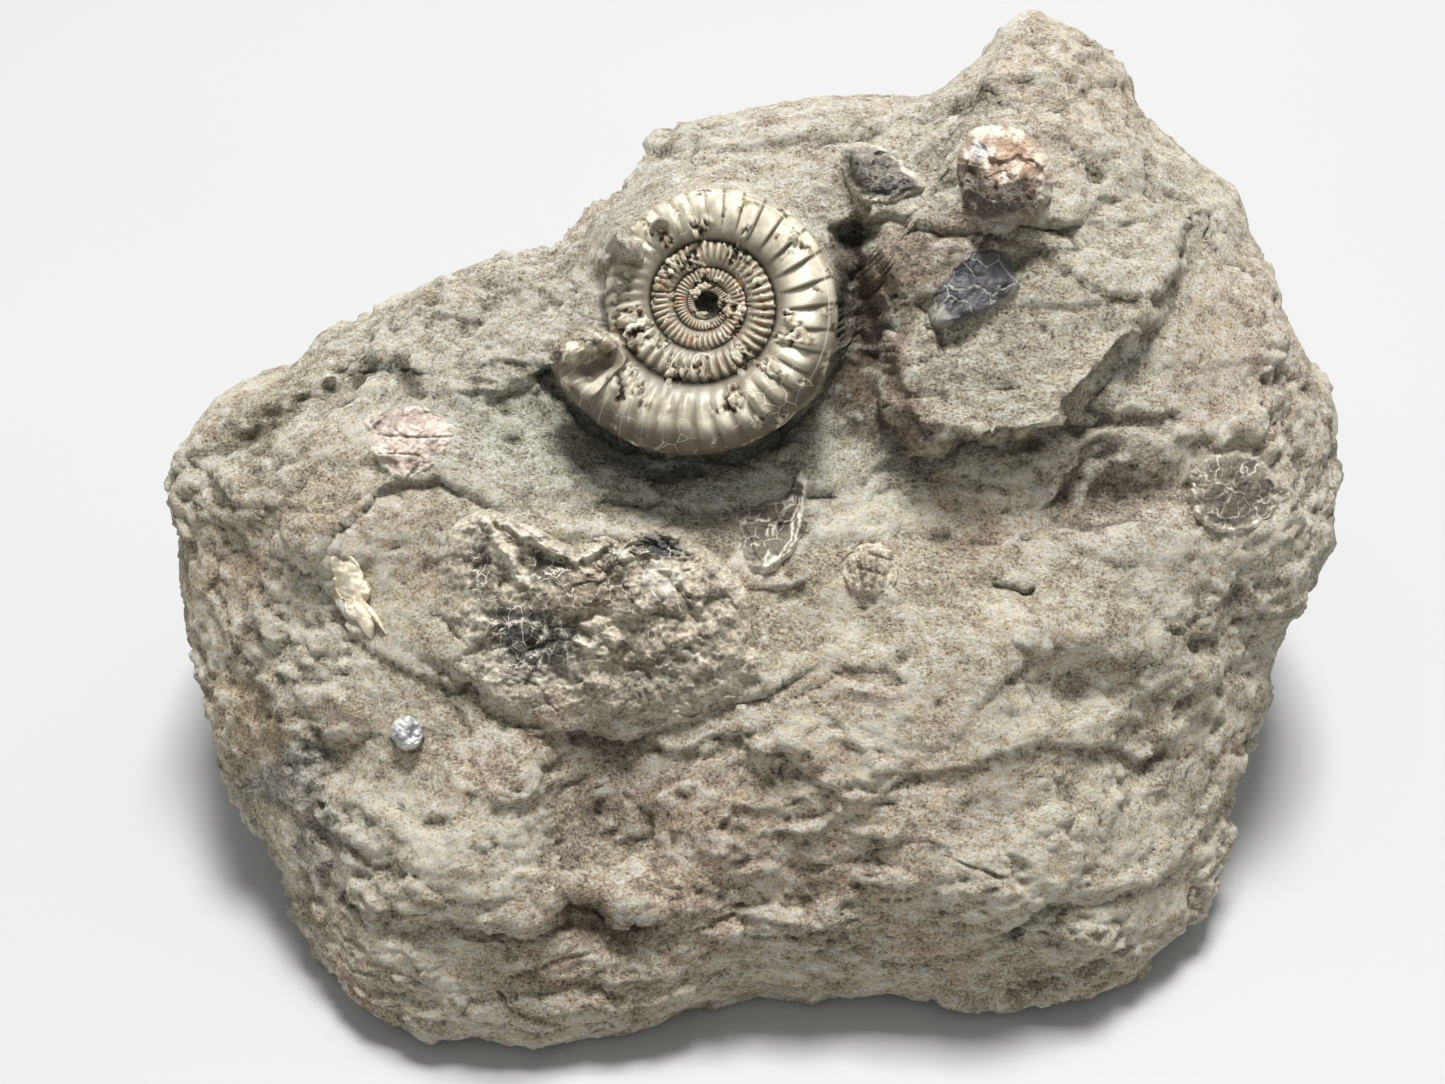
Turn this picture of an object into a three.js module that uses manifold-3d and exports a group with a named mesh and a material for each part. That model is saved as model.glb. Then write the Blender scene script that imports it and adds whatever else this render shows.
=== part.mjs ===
// An ammonite fossil in its hand-sized block of limestone matrix, with the smaller fossils and crystals that
// share its face. Millimetres, +Z up. The block stands on a flat break, and the origin is the middle of its base.
//
// The block is drawn in face coordinates: a runs to the right, b runs up the face and n stands out of it. The face
// leans back, so n points up and forward. The sides spread slowly behind the face, by FACE.flare.
import * as THREE from "three";
import { mergeVertices } from "three/addons/utils/BufferGeometryUtils.js";
import Module from "manifold-3d";

const wasm = await Module();
wasm.setup();

const TURN = 2 * Math.PI;
const GAP = 0.3; // clearance between a fossil and its socket in the matrix

const FACE = {
  elevation: THREE.MathUtils.degToRad(42), // how far the face's normal points above the horizon
  centre: new THREE.Vector3(0, -19.5, 47), // the face's middle, from the origin
  flare: 200, // a point n behind the face stands out by n / flare of its distance from the middle
};

const BLOCK = {
  rings: 19, // rings of triangles from the middle of the face to the rim, and again behind it
  dome: 14, // how far the face falls from its middle to an even rim
  faceSquareness: 4,
  depth: 45, // from the rim to the middle of the back, which the base cuts off low down
  backBulge: 14, // how much further back the middle is than the rim's own depth calls for
  backSquareness: 2.7,
  backRise: 3, // the middle of the back sits this far above the middle of the face
};

// The rim seen square on, as points [a, b] in order round it.
const RIM = [
  [57.7, 0], [58.3, 10.2], [57.3, 15.4], [55, 20], [52.5, 24.8], [50, 29.2], [48.4, 33.6], [44.6, 37], [41, 41],
  [38, 45], [33.8, 48.8], [29.6, 51.4], [27.8, 51.8], [26.4, 50.4], [24.6, 48.2], [22, 46.8], [18.6, 44.2],
  [15.8, 43.7], [8, 44], [1.5, 42.6], [-3.8, 41], [-8.2, 38.4], [-12.4, 34.8], [-15.4, 32], [-17.6, 29.2],
  [-21, 27.2], [-26.4, 26.3], [-32, 25], [-38.4, 22], [-45.6, 16.8], [-51.6, 14.4], [-56, 10], [-58.2, 5],
  [-58, 1.6], [-57.2, -0.4], [-57.3, -5], [-56.6, -10], [-54.4, -14.4], [-53, -20], [-51.4, -25], [-49.6, -29.4],
  [-46.6, -35.4], [-44.6, -40.6], [-41, -45], [-37, -48.2], [-31, -50.4], [-25, -51.8], [-18.5, -50.8],
  [-10, -49.2], [-2, -46.6], [4, -46], [12.3, -45.4], [19, -46.4], [27.3, -46.8], [32.4, -46.3], [38.6, -44.2],
  [43.4, -40], [46.2, -33.5], [47.6, -27.5], [49, -22], [51, -16.4], [51.8, -12.4], [55.4, -7.2],
];
// How far the rim lies behind the face's middle, as [degrees round from +a, depth].
const RIM_DEPTH = [
  [0, 20], [30, 19], [58, 16], [80, 15], [105, 13], [130, 15], [160, 20], [185, 20], [212, 18], [230, 12],
  [244, 9.5], [258, 11.5], [270, 14], [300, 13.4], [312, 16], [330, 19],
];

// Broad swells and hollows of the face: middle, half widths, turn in degrees and height.
const SWELLS = [
  { name: "hollow under the ammonite", at: [-9, 9], size: [17, 6.5], turn: -6, height: -4.2 },
  { name: "gully beside the ammonite", at: [12.5, 17], size: [5, 13], turn: 8, height: -2 },
  { name: "swell of the large shell", at: [-13, -9], size: [17, 9], turn: -3, height: 3.2 },
  { name: "valley below the large shell", at: [-14, -29], size: [6, 13], turn: 4, height: -3.4 },
  { name: "lower left lobe", at: [-31, -29], size: [14, 16], turn: 0, height: 3 },
  { name: "lower right lobe", at: [22, -24], size: [24, 15], turn: 10, height: 2.6 },
  { name: "left shoulder", at: [-41, 1], size: [14, 10], turn: 20, height: 2.2 },
  { name: "shoulder valley", at: [-42, 14.5], size: [15, 3], turn: 30, height: -2.6 },
  { name: "hollow left of the round shell", at: [38, 4], size: [8, 3.4], turn: 5, height: -1.8 },
  { name: "hollow at the right edge", at: [49, -8], size: [6, 5], turn: 30, height: -2.4 },
];
// The raised slab of the upper right, as an outline, with its height and how far its upper side takes to rise.
const SLAB = {
  outline: [
    [9.5, 38], [14, 39.6], [21, 41], [31, 42], [38, 40], [44, 36.4], [45.4, 31.8], [43, 27.4], [41, 23.4], [39, 18.8],
    [34.6, 15], [31, 10.4], [28, 9.6], [21, 9.6], [17.4, 8], [15, 9.8], [13, 13.6], [13.5, 21], [11, 27], [12, 32],
  ],
  height: 3.6,
  edge: 6,
};
// Broad swells and hollows of the back, in the same terms; a height is outwards.
const BACK_SWELLS = [
  { name: "upper ridge", at: [20, 24], size: [26, 12], turn: 30, height: 4 },
  { name: "left hollow", at: [-34, 12], size: [16, 12], turn: -20, height: -5 },
  { name: "left lower swell", at: [-30, -18], size: [18, 14], turn: 10, height: 4 },
  { name: "middle hollow", at: [2, -2], size: [12, 22], turn: 15, height: -4 },
  { name: "right swell", at: [32, -8], size: [14, 20], turn: -10, height: 4 },
];

const AMMONITE = {
  at: [-4.4, 23], // middle of the coil on the face
  stand: 1.4, // its middle plane over the face's own middle
  lean: THREE.MathUtils.degToRad(9), // how far its upper left side tips back
  leanTowards: THREE.MathUtils.degToRad(135),
  radius: 17, // from the middle to the outer edge at the mouth
  mouthAngle: THREE.MathUtils.degToRad(202),
  growth: 1.72, // the radius grows by this in each turn
  overlap: 0.06, // each whorl reaches this share of the radius into the one inside it
  turns: 3.7,
  navelShare: 0.36, // half width of the first chamber over its radius
  ribsPerTurn: 29,
  ribHeight: 0.035, // share of the radius
  thickness: 0.4, // whorl width over radius
  sides: 10,
  bed: 1, // the matrix that holds the coil lies this far behind its middle plane
  bedRadius: 15,
  bedSlope: 5,
};
// The room cut for the coil: stretches of the last whorl in turns back from its mouth, and a drum before the rest.
const SOCKET = {
  stretches: [[-0.012, 0.36], [0.35, 0.71], [0.7, 1.06]],
  steps: 24,
  clearance: 0.9,
  drumSides: 30,
  drumShare: 0.8, // of the last whorl's radius half a turn back
};
// The plug in the mouth: turns back, how far out over the whorl, how far it stands forward, and its half sizes.
const MOUTH_FILL = { back: 0.004, outward: 0.64, forward: 1.5, half: [1.9, 1.5, 2] };

// Matrix-coloured fill, lesser fossils and crystals set in the face: middle, half sizes, turn in degrees and how
// far the middle sinks below the face.
const INCLUSIONS = [
  { name: "large_shell_fragment", at: [-13, -9.5], half: [15.5, 9.4, 4], turn: -3, sink: 2.6, colour: 0x69635a },
  { name: "upright_shell_fragment", at: [3.4, 1.4], half: [2.3, 5.2, 2.4], turn: -28, sink: 0.7, colour: 0x6e675c },
  { name: "round_shell", at: [48.4, 5.9], half: [5.4, 5.6, 2.4], turn: 0, sink: 1.4, colour: 0x70675b },
  { name: "crystalline_lump", at: [25.4, 36.2], half: [4.4, 4.8, 4.4], turn: 12, sink: 0.6, colour: 0xb9a594 },
  { name: "slate_grey_flake", at: [21.6, 24.6], half: [5.4, 3.2, 1.6], turn: 28, sink: 0.9, colour: 0x625f5b },
  { name: "dark_facet_fragment", at: [13.4, 36.6], half: [3.6, 2.8, 2], turn: -30, sink: 1, colour: 0x7a7068 },
  { name: "calcite_crystal", at: [-34.3, -19.9], half: [1.7, 1.7, 1.6], turn: 0, sink: 0.4, colour: 0xd9d9dc },
  { name: "cream_shell_sliver", at: [-39.6, -6.2], half: [1.2, 4.3, 1], turn: 28, sink: 0.5, colour: 0xeae6cf },
  { name: "pale_shell_flake", at: [-33, 9.6], half: [3.6, 2.5, 1], turn: 35, sink: 0.6, colour: 0xdfdbd1 },
  { name: "small_ribbed_fossil", at: [13, -3], half: [3.6, 3.6, 1.4], turn: 0, sink: 0.8, colour: 0xc2bba6 },
];

const COLOURS = { matrix: 0xb9b29f, ammonite: 0xb4ad96, infill: 0xa8a08c };

// ---------------------------------------------------------------- the block's surface

/** A closed curve through [angle, value] points, as a function of the angle, with smooth joins. */
function roundCurve(points) {
  const sorted = points.map(([angle, value]) => [((angle % TURN) + TURN) % TURN, value]).sort((p, q) => p[0] - q[0]);
  const count = sorted.length;
  const knot = (i) => {
    const lap = Math.floor(i / count);
    const [angle, value] = sorted[i - lap * count];
    return [angle + lap * TURN, value];
  };
  const slope = (i) => (knot(i + 1)[1] - knot(i - 1)[1]) / (knot(i + 1)[0] - knot(i - 1)[0]);
  return (angle) => {
    const t = ((angle % TURN) + TURN) % TURN;
    let i = -1;
    while (knot(i + 1)[0] <= t) i += 1;
    const [t0, v0] = knot(i);
    const [t1, v1] = knot(i + 1);
    const h = t1 - t0;
    const s = (t - t0) / h;
    const rise = v1 - v0;
    return v0 + s * (slope(i) * h * (1 - s) ** 2 - slope(i + 1) * h * s * (1 - s) + rise * s * (3 - 2 * s));
  };
}

const rimRadius = roundCurve(RIM.map(([a, b]) => [Math.atan2(b, a), Math.hypot(a, b)]));
const rimDepth = roundCurve(RIM_DEPTH.map(([degrees, depth]) => [THREE.MathUtils.degToRad(degrees), -depth]));

const smoothstep = (x) => {
  const t = Math.min(1, Math.max(0, x));
  return t * t * (3 - 2 * t);
};

/** Distance from (a, b) to a closed outline, positive inside. */
function insideDistance(a, b, outline) {
  let nearest = Infinity;
  let inside = false;
  outline.forEach(([x1, y1], i) => {
    const [x0, y0] = outline[(i + outline.length - 1) % outline.length];
    const along = ((a - x0) * (x1 - x0) + (b - y0) * (y1 - y0)) / ((x1 - x0) ** 2 + (y1 - y0) ** 2);
    const t = Math.min(1, Math.max(0, along));
    nearest = Math.min(nearest, Math.hypot(a - x0 - t * (x1 - x0), b - y0 - t * (y1 - y0)));
    if (y0 > b !== y1 > b && a < ((x1 - x0) * (b - y0)) / (y1 - y0) + x0) inside = !inside;
  });
  return inside ? nearest : -nearest;
}

/** Summed height of a list of swells at (a, b). */
function swellHeight(swells, a, b) {
  let height = 0;
  for (const { at, size, turn, height: rise } of swells) {
    const angle = THREE.MathUtils.degToRad(turn);
    const da = a - at[0];
    const db = b - at[1];
    const u = (da * Math.cos(angle) + db * Math.sin(angle)) / size[0];
    const v = (db * Math.cos(angle) - da * Math.sin(angle)) / size[1];
    height += rise * Math.exp(-(u * u + v * v));
  }
  return height;
}

/** Height of the swells, hollows and slab over the plain dome at (a, b). */
const relief = (a, b) =>
  swellHeight(SWELLS, a, b) + SLAB.height * smoothstep(insideDistance(a, b, SLAB.outline) / SLAB.edge);

/** Height n of the ammonite's own middle plane at (a, b). */
function coilPlane(a, b) {
  const { at, stand, lean, leanTowards } = AMMONITE;
  const towards = (a - at[0]) * Math.cos(leanTowards) + (b - at[1]) * Math.sin(leanTowards);
  return stand - towards * Math.tan(lean);
}

/** A point of the part from face coordinates. */
function place(a, b, n) {
  const spread = 1 - n / FACE.flare;
  const { elevation, centre } = FACE;
  return new THREE.Vector3(
    centre.x + a * spread,
    centre.y + Math.sin(elevation) * b * spread - Math.cos(elevation) * n,
    centre.z + Math.cos(elevation) * b * spread + Math.sin(elevation) * n,
  );
}

/** Height n of the front of the block, at a share of the way from its middle to the rim. */
function frontHeight(share, angle) {
  const reach = rimRadius(angle) * share;
  const dome = BLOCK.dome * (Math.sqrt(Math.max(0, 1 - share ** BLOCK.faceSquareness)) - 1);
  const fade = 1 - share ** 8;
  const [a, b] = [reach * Math.cos(angle), reach * Math.sin(angle)];
  const plain = dome + (rimDepth(angle) + BLOCK.dome) * share ** 4 + fade * relief(a, b);
  const { at, bed, bedRadius, bedSlope } = AMMONITE;
  const held = smoothstep((bedRadius - Math.hypot(a - at[0], b - at[1])) / bedSlope);
  return plain + held * (coilPlane(a, b) - bed - plain);
}

/** Height n of the front at (a, b). */
function frontAt(a, b) {
  const angle = Math.atan2(b, a);
  return frontHeight(Math.min(1, Math.hypot(a, b) / rimRadius(angle)), angle);
}

/** Height n of the back, at a share of the way from its middle to the rim. */
function backHeight(share, angle) {
  const reach = rimRadius(angle) * share;
  const bulge = BLOCK.backBulge + swellHeight(BACK_SWELLS, reach * Math.cos(angle), reach * Math.sin(angle));
  const dome = Math.sqrt(Math.max(0, 1 - share ** BLOCK.backSquareness));
  return rimDepth(angle) * share ** 2 - bulge * (1 - share ** 2) - BLOCK.depth * dome;
}

/** A closed body from rings of six sectors: from the middle of the front, out to the rim and back to the far middle. */
function blockGeometry() {
  const { rings } = BLOCK;
  const start = (ring) => (ring === 0 ? 0 : 1 + 3 * ring * (ring - 1));
  const positions = [];
  const faces = [];
  const frontCount = start(rings + 1);
  const addRing = (ring, heightAt, rise) => {
    const share = Math.sin(((ring / rings) * Math.PI) / 2);
    for (let j = 0; j < Math.max(1, 6 * ring); j += 1) {
      const angle = ring === 0 ? 0 : (j / (6 * ring)) * TURN;
      const reach = rimRadius(angle) * share;
      const b = reach * Math.sin(angle) + rise * (1 - share ** 2);
      positions.push(...place(reach * Math.cos(angle), b, heightAt(share, angle)).toArray());
    }
  };
  for (let ring = 0; ring <= rings; ring += 1) addRing(ring, frontHeight, 0);
  for (let ring = 0; ring < rings; ring += 1) addRing(ring, backHeight, BLOCK.backRise);

  const frontIndex = (ring, j) => start(ring) + (j % Math.max(1, 6 * ring));
  const backIndex = (ring, j) => (ring === rings ? frontIndex(ring, j) : frontCount + frontIndex(ring, j));
  for (const [index, flip] of [[frontIndex, false], [backIndex, true]]) {
    for (let ring = 1; ring <= rings; ring += 1) {
      for (let sector = 0; sector < 6; sector += 1) {
        for (let j = 0; j < ring; j += 1) {
          const inner = sector * (ring - 1) + j;
          const outer = sector * ring + j;
          const triangles = [[index(ring - 1, inner), index(ring, outer), index(ring, outer + 1)]];
          if (j < ring - 1) {
            triangles.push([index(ring - 1, inner), index(ring, outer + 1), index(ring - 1, inner + 1)]);
          }
          for (const [p, q, r] of triangles) faces.push(...(flip ? [p, r, q] : [p, q, r]));
        }
      }
    }
  }
  const geometry = new THREE.BufferGeometry();
  geometry.setAttribute("position", new THREE.Float32BufferAttribute(positions, 3));
  return geometry.setIndex(faces);
}

// ---------------------------------------------------------------- joining and cutting

/** A closed geometry as a solid, after an optional matrix. */
function solidOf(geometry, matrix = new THREE.Matrix4()) {
  const plain = geometry.clone().applyMatrix4(matrix);
  plain.deleteAttribute("normal");
  plain.deleteAttribute("uv");
  const merged = mergeVertices(plain, 1e-4);
  return new wasm.Manifold(
    new wasm.Mesh({
      numProp: 3,
      vertProperties: new Float32Array(merged.attributes.position.array),
      triVerts: new Uint32Array(merged.index.array),
    }),
  );
}

/** A named mesh from a solid. */
function meshOf(name, solid, colour, roughness, metalness = 0) {
  const { vertProperties, triVerts } = solid.getMesh();
  const geometry = new THREE.BufferGeometry();
  geometry.setAttribute("position", new THREE.BufferAttribute(vertProperties, 3));
  geometry.setIndex(new THREE.BufferAttribute(triVerts, 1));
  geometry.computeVertexNormals();
  const material = new THREE.MeshStandardMaterial({ color: colour, roughness, metalness, flatShading: true });
  const mesh = new THREE.Mesh(geometry, material);
  mesh.name = name;
  return mesh;
}

// ---------------------------------------------------------------- the ammonite

/** Point of the coil's own plane frame: distance r from its axis at an angle, and height over its middle plane. */
function coilPoint(r, angle, over) {
  const { at, stand, lean, leanTowards } = AMMONITE;
  const a = r * Math.cos(angle);
  const b = r * Math.sin(angle);
  const towards = a * Math.cos(leanTowards) + b * Math.sin(leanTowards);
  const slid = towards * (Math.cos(lean) - 1) + over * Math.sin(lean);
  return place(
    at[0] + a + slid * Math.cos(leanTowards),
    at[1] + b + slid * Math.sin(leanTowards),
    stand + over * Math.cos(lean) - towards * Math.sin(lean),
  );
}

const outerRadius = (back) => AMMONITE.radius * AMMONITE.growth ** -back;

/** A closed stretch of whorl between two numbers of turns back from the mouth. swell widens it all round. */
function whorlGeometry(from, to, steps, ribbed, swell = 0) {
  const { sides, growth, overlap, ribsPerTurn, ribHeight, thickness, mouthAngle } = AMMONITE;
  const positions = [];
  const faces = [];
  for (let i = 0; i <= steps; i += 1) {
    const back = from + ((to - from) * i) / steps;
    const outer = outerRadius(back);
    const inner = outer / growth - overlap * outer;
    const rib = ribbed ? Math.cos(back * ribsPerTurn * TURN) : -1;
    const lift = ribHeight * outer * 0.5 * (1 + rib);
    for (let j = 0; j < sides; j += 1) {
      const turn = ((j + 0.5) / sides) * TURN;
      const outward = Math.max(0, Math.cos(turn) * 0.5 + 0.5);
      const halfHeight = (outer - inner) / 2 - ribHeight * outer + lift * outward + swell;
      const halfWidth = (thickness * outer) / 2 - ribHeight * outer * 0.5 + lift * outward + swell;
      const middle = (outer + inner) / 2 - ribHeight * outer * 0.3;
      const r = middle + halfHeight * Math.cos(turn);
      positions.push(...coilPoint(r, mouthAngle + back * TURN, halfWidth * Math.sin(turn)).toArray());
    }
  }
  for (let i = 0; i < steps; i += 1) {
    for (let j = 0; j < sides; j += 1) {
      const next = (j + 1) % sides;
      const [p, q, r, s] = [i * sides + j, i * sides + next, (i + 1) * sides + next, (i + 1) * sides + j];
      faces.push(p, s, q, q, s, r);
    }
  }
  const last = steps * sides;
  for (let j = 1; j < sides - 1; j += 1) {
    faces.push(0, j, j + 1, last, last + j + 1, last + j);
  }
  const geometry = new THREE.BufferGeometry();
  geometry.setAttribute("position", new THREE.Float32BufferAttribute(positions, 3));
  return geometry.setIndex(faces);
}

/** All the whorls joined, in stretches short enough not to meet themselves. */
function ammoniteSolid() {
  const { turns, ribsPerTurn } = AMMONITE;
  const stretch = 0.5;
  const lap = 0.004;
  let whole = null;
  for (let back = 0; back < turns - 1e-6; back += stretch) {
    const end = Math.min(turns, back + stretch);
    const ribbed = back < 2;
    const perTurn = ribbed ? 2 * ribsPerTurn : 20;
    const steps = Math.max(3, Math.round((end - back) * perTurn));
    const piece = solidOf(whorlGeometry(back, Math.min(turns, end + lap), steps, ribbed));
    whole = whole ? whole.add(piece) : piece;
  }
  const navel = outerRadius(turns - 0.9);
  return whole.add(solidOf(navelGeometry(navel, AMMONITE.navelShare * navel)));
}

/** The first chamber: a small flattened ball that closes the middle of the coil. */
function navelGeometry(radius, halfWidth) {
  const ball = new THREE.SphereGeometry(1, 12, 8);
  const position = ball.getAttribute("position");
  for (let i = 0; i < position.count; i += 1) {
    const [x, y, z] = [position.getX(i), position.getY(i), position.getZ(i)];
    const point = coilPoint(radius * Math.hypot(x, y), Math.atan2(y, x), halfWidth * z);
    position.setXYZ(i, point.x, point.y, point.z);
  }
  return ball;
}

/** The room that the ammonite takes out of the matrix: its last whorl with clearance, and all in front of its coils. */
function ammoniteSocket() {
  const { stretches, steps, clearance, drumSides: sides, drumShare } = SOCKET;
  let room = null;
  for (const [from, to] of stretches) {
    const piece = solidOf(whorlGeometry(from, to, steps, false, clearance));
    room = room ? room.add(piece) : piece;
  }
  const drumRadius = outerRadius(0.5) * drumShare;
  const back = (AMMONITE.thickness / 2) * outerRadius(1) + GAP;
  const positions = [];
  const faces = [];
  for (const over of [-back, AMMONITE.bedRadius]) {
    for (let j = 0; j < sides; j += 1) {
      const angle = ((j + 0.5) / sides) * TURN;
      positions.push(...coilPoint(drumRadius, angle, over).toArray());
    }
  }
  for (let j = 0; j < sides; j += 1) {
    const next = (j + 1) % sides;
    faces.push(j, next, sides + j, sides + j, next, sides + next);
    if (j > 0 && j < sides - 1) faces.push(0, j + 1, j, sides, sides + j, sides + j + 1);
  }
  const drum = new THREE.BufferGeometry();
  drum.setAttribute("position", new THREE.Float32BufferAttribute(positions, 3));
  return room.add(solidOf(drum.setIndex(faces)));
}

// ---------------------------------------------------------------- smaller pieces in the face

/** A matrix that puts a piece's middle at (a, b) on the face, sunk into it, with its own +z along n and turned. */
function seat([a, b], sink, turn) {
  const n = frontAt(a, b) - sink;
  const step = 1.5;
  const slopeA = (frontAt(a + step, b) - frontAt(a - step, b)) / (2 * step);
  const slopeB = (frontAt(a, b + step) - frontAt(a, b - step)) / (2 * step);
  const origin = place(a, b, n);
  const right = place(a + 1, b, n + slopeA).sub(origin).normalize();
  const up = place(a, b + 1, n + slopeB).sub(origin).normalize();
  const out = right.clone().cross(up).normalize();
  const trueUp = out.clone().cross(right);
  return new THREE.Matrix4()
    .makeBasis(right, trueUp, out)
    .setPosition(origin)
    .multiply(new THREE.Matrix4().makeRotationZ(THREE.MathUtils.degToRad(turn)));
}

/** A rounded pebble shape with these half sizes, each grown by extra. */
const pebble = (half, extra = 0) =>
  new THREE.IcosahedronGeometry(1, 1).scale(half[0] + extra, half[1] + extra, half[2] + extra);

/** The sediment that fills the broken body chamber: a plug standing out of the mouth of the last whorl. */
function mouthFill(extra = 0) {
  const geometry = new THREE.IcosahedronGeometry(1, 1);
  const position = geometry.getAttribute("position");
  const { back, outward, forward, half } = MOUTH_FILL;
  const angle = AMMONITE.mouthAngle + back * TURN;
  const outer = outerRadius(back);
  const radius = outer * (1 - (1 - 1 / AMMONITE.growth) * (1 - outward));
  for (let i = 0; i < position.count; i += 1) {
    const r = radius + (half[0] + extra) * position.getX(i);
    const slip = ((half[1] + extra) * position.getY(i) - forward) / radius;
    const point = coilPoint(r, angle + slip, (half[2] + extra) * position.getZ(i));
    position.setXYZ(i, point.x, point.y, point.z);
  }
  return geometry;
}

// ---------------------------------------------------------------- the part

const ammonite = ammoniteSolid();
let matrix = solidOf(blockGeometry());
const floorBox = new THREE.BoxGeometry(400, 400, 100).translate(0, 0, -50);
matrix = matrix.subtract(solidOf(floorBox)).subtract(ammoniteSocket());
const fill = solidOf(mouthFill()).subtract(ammonite);
matrix = matrix.subtract(solidOf(mouthFill(GAP)));

const fossil = new THREE.Group();
for (const { name, at, half, turn, sink, colour } of INCLUSIONS) {
  const spot = seat(at, sink, turn);
  matrix = matrix.subtract(solidOf(pebble(half, GAP), spot));
  fossil.add(meshOf(name, solidOf(pebble(half), spot), colour, 0.7));
}
fossil.add(meshOf("matrix_block", matrix, COLOURS.matrix, 0.95));
fossil.add(meshOf("ammonite_shell", ammonite, COLOURS.ammonite, 0.6, 0.2));
fossil.add(meshOf("mouth_infill", fill, COLOURS.infill, 0.9));

export default fossil;
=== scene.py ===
"""An ammonite fossil standing proud of its limestone block, with the shells and crystals that share its face.

The block, the coil and each smaller fossil are surfaces worked out with numpy. They are drawn in face coordinates, in
millimetres: a runs to the right along the leaning face, b runs up it and n stands out of it.
"""

import logging
import math
from dataclasses import dataclass, field
from enum import Enum
from itertools import product
from typing import Sequence

import bpy
import numpy as np
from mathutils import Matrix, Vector


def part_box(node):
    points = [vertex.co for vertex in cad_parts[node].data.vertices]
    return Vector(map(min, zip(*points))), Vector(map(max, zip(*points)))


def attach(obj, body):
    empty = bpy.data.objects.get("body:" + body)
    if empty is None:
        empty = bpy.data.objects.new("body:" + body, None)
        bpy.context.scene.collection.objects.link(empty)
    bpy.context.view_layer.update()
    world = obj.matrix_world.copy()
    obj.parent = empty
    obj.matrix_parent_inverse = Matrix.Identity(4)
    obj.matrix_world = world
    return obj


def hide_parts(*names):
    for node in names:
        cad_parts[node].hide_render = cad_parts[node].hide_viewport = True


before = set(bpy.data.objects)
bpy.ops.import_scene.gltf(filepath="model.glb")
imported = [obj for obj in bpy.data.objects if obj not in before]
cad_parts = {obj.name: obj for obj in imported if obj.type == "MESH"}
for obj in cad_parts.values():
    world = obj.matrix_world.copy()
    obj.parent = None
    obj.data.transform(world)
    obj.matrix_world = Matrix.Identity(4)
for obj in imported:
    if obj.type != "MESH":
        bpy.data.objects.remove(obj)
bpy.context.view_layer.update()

Array = np.ndarray
Point = tuple[float, float]

MM = 0.001
TURN = 2.0 * math.pi
LOG = logging.getLogger("fossil")


# ---------------------------------------------------------------- numbers and noise


def smoothstep(x: Array) -> Array:
    """Rise smoothly from 0 at x = 0 to 1 at x = 1.

    Args:
        x: Any values.

    Returns:
        Values from 0 to 1: t * t * (3 - 2 t), with t held between 0 and 1.
    """
    t = np.clip(x, 0.0, 1.0)
    return t * t * (3.0 - 2.0 * t)


def blend(low: Array, high: Array, share: Array) -> Array:
    """Mix two values: low where share is 0 and high where it is 1."""
    return low + (high - low) * share


def linear(red: int, green: int, blue: int) -> Array:
    """Turn a screen colour of 0 to 255 into the linear colour that shaders use.

    Args:
        red: Red, 0 to 255.
        green: Green, 0 to 255.
        blue: Blue, 0 to 255.

    Returns:
        Three linear values.
    """
    screen = np.array([red, green, blue]) / 255.0
    return np.where(screen <= 0.04045, screen / 12.92, ((screen + 0.055) / 1.055) ** 2.4)


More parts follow.
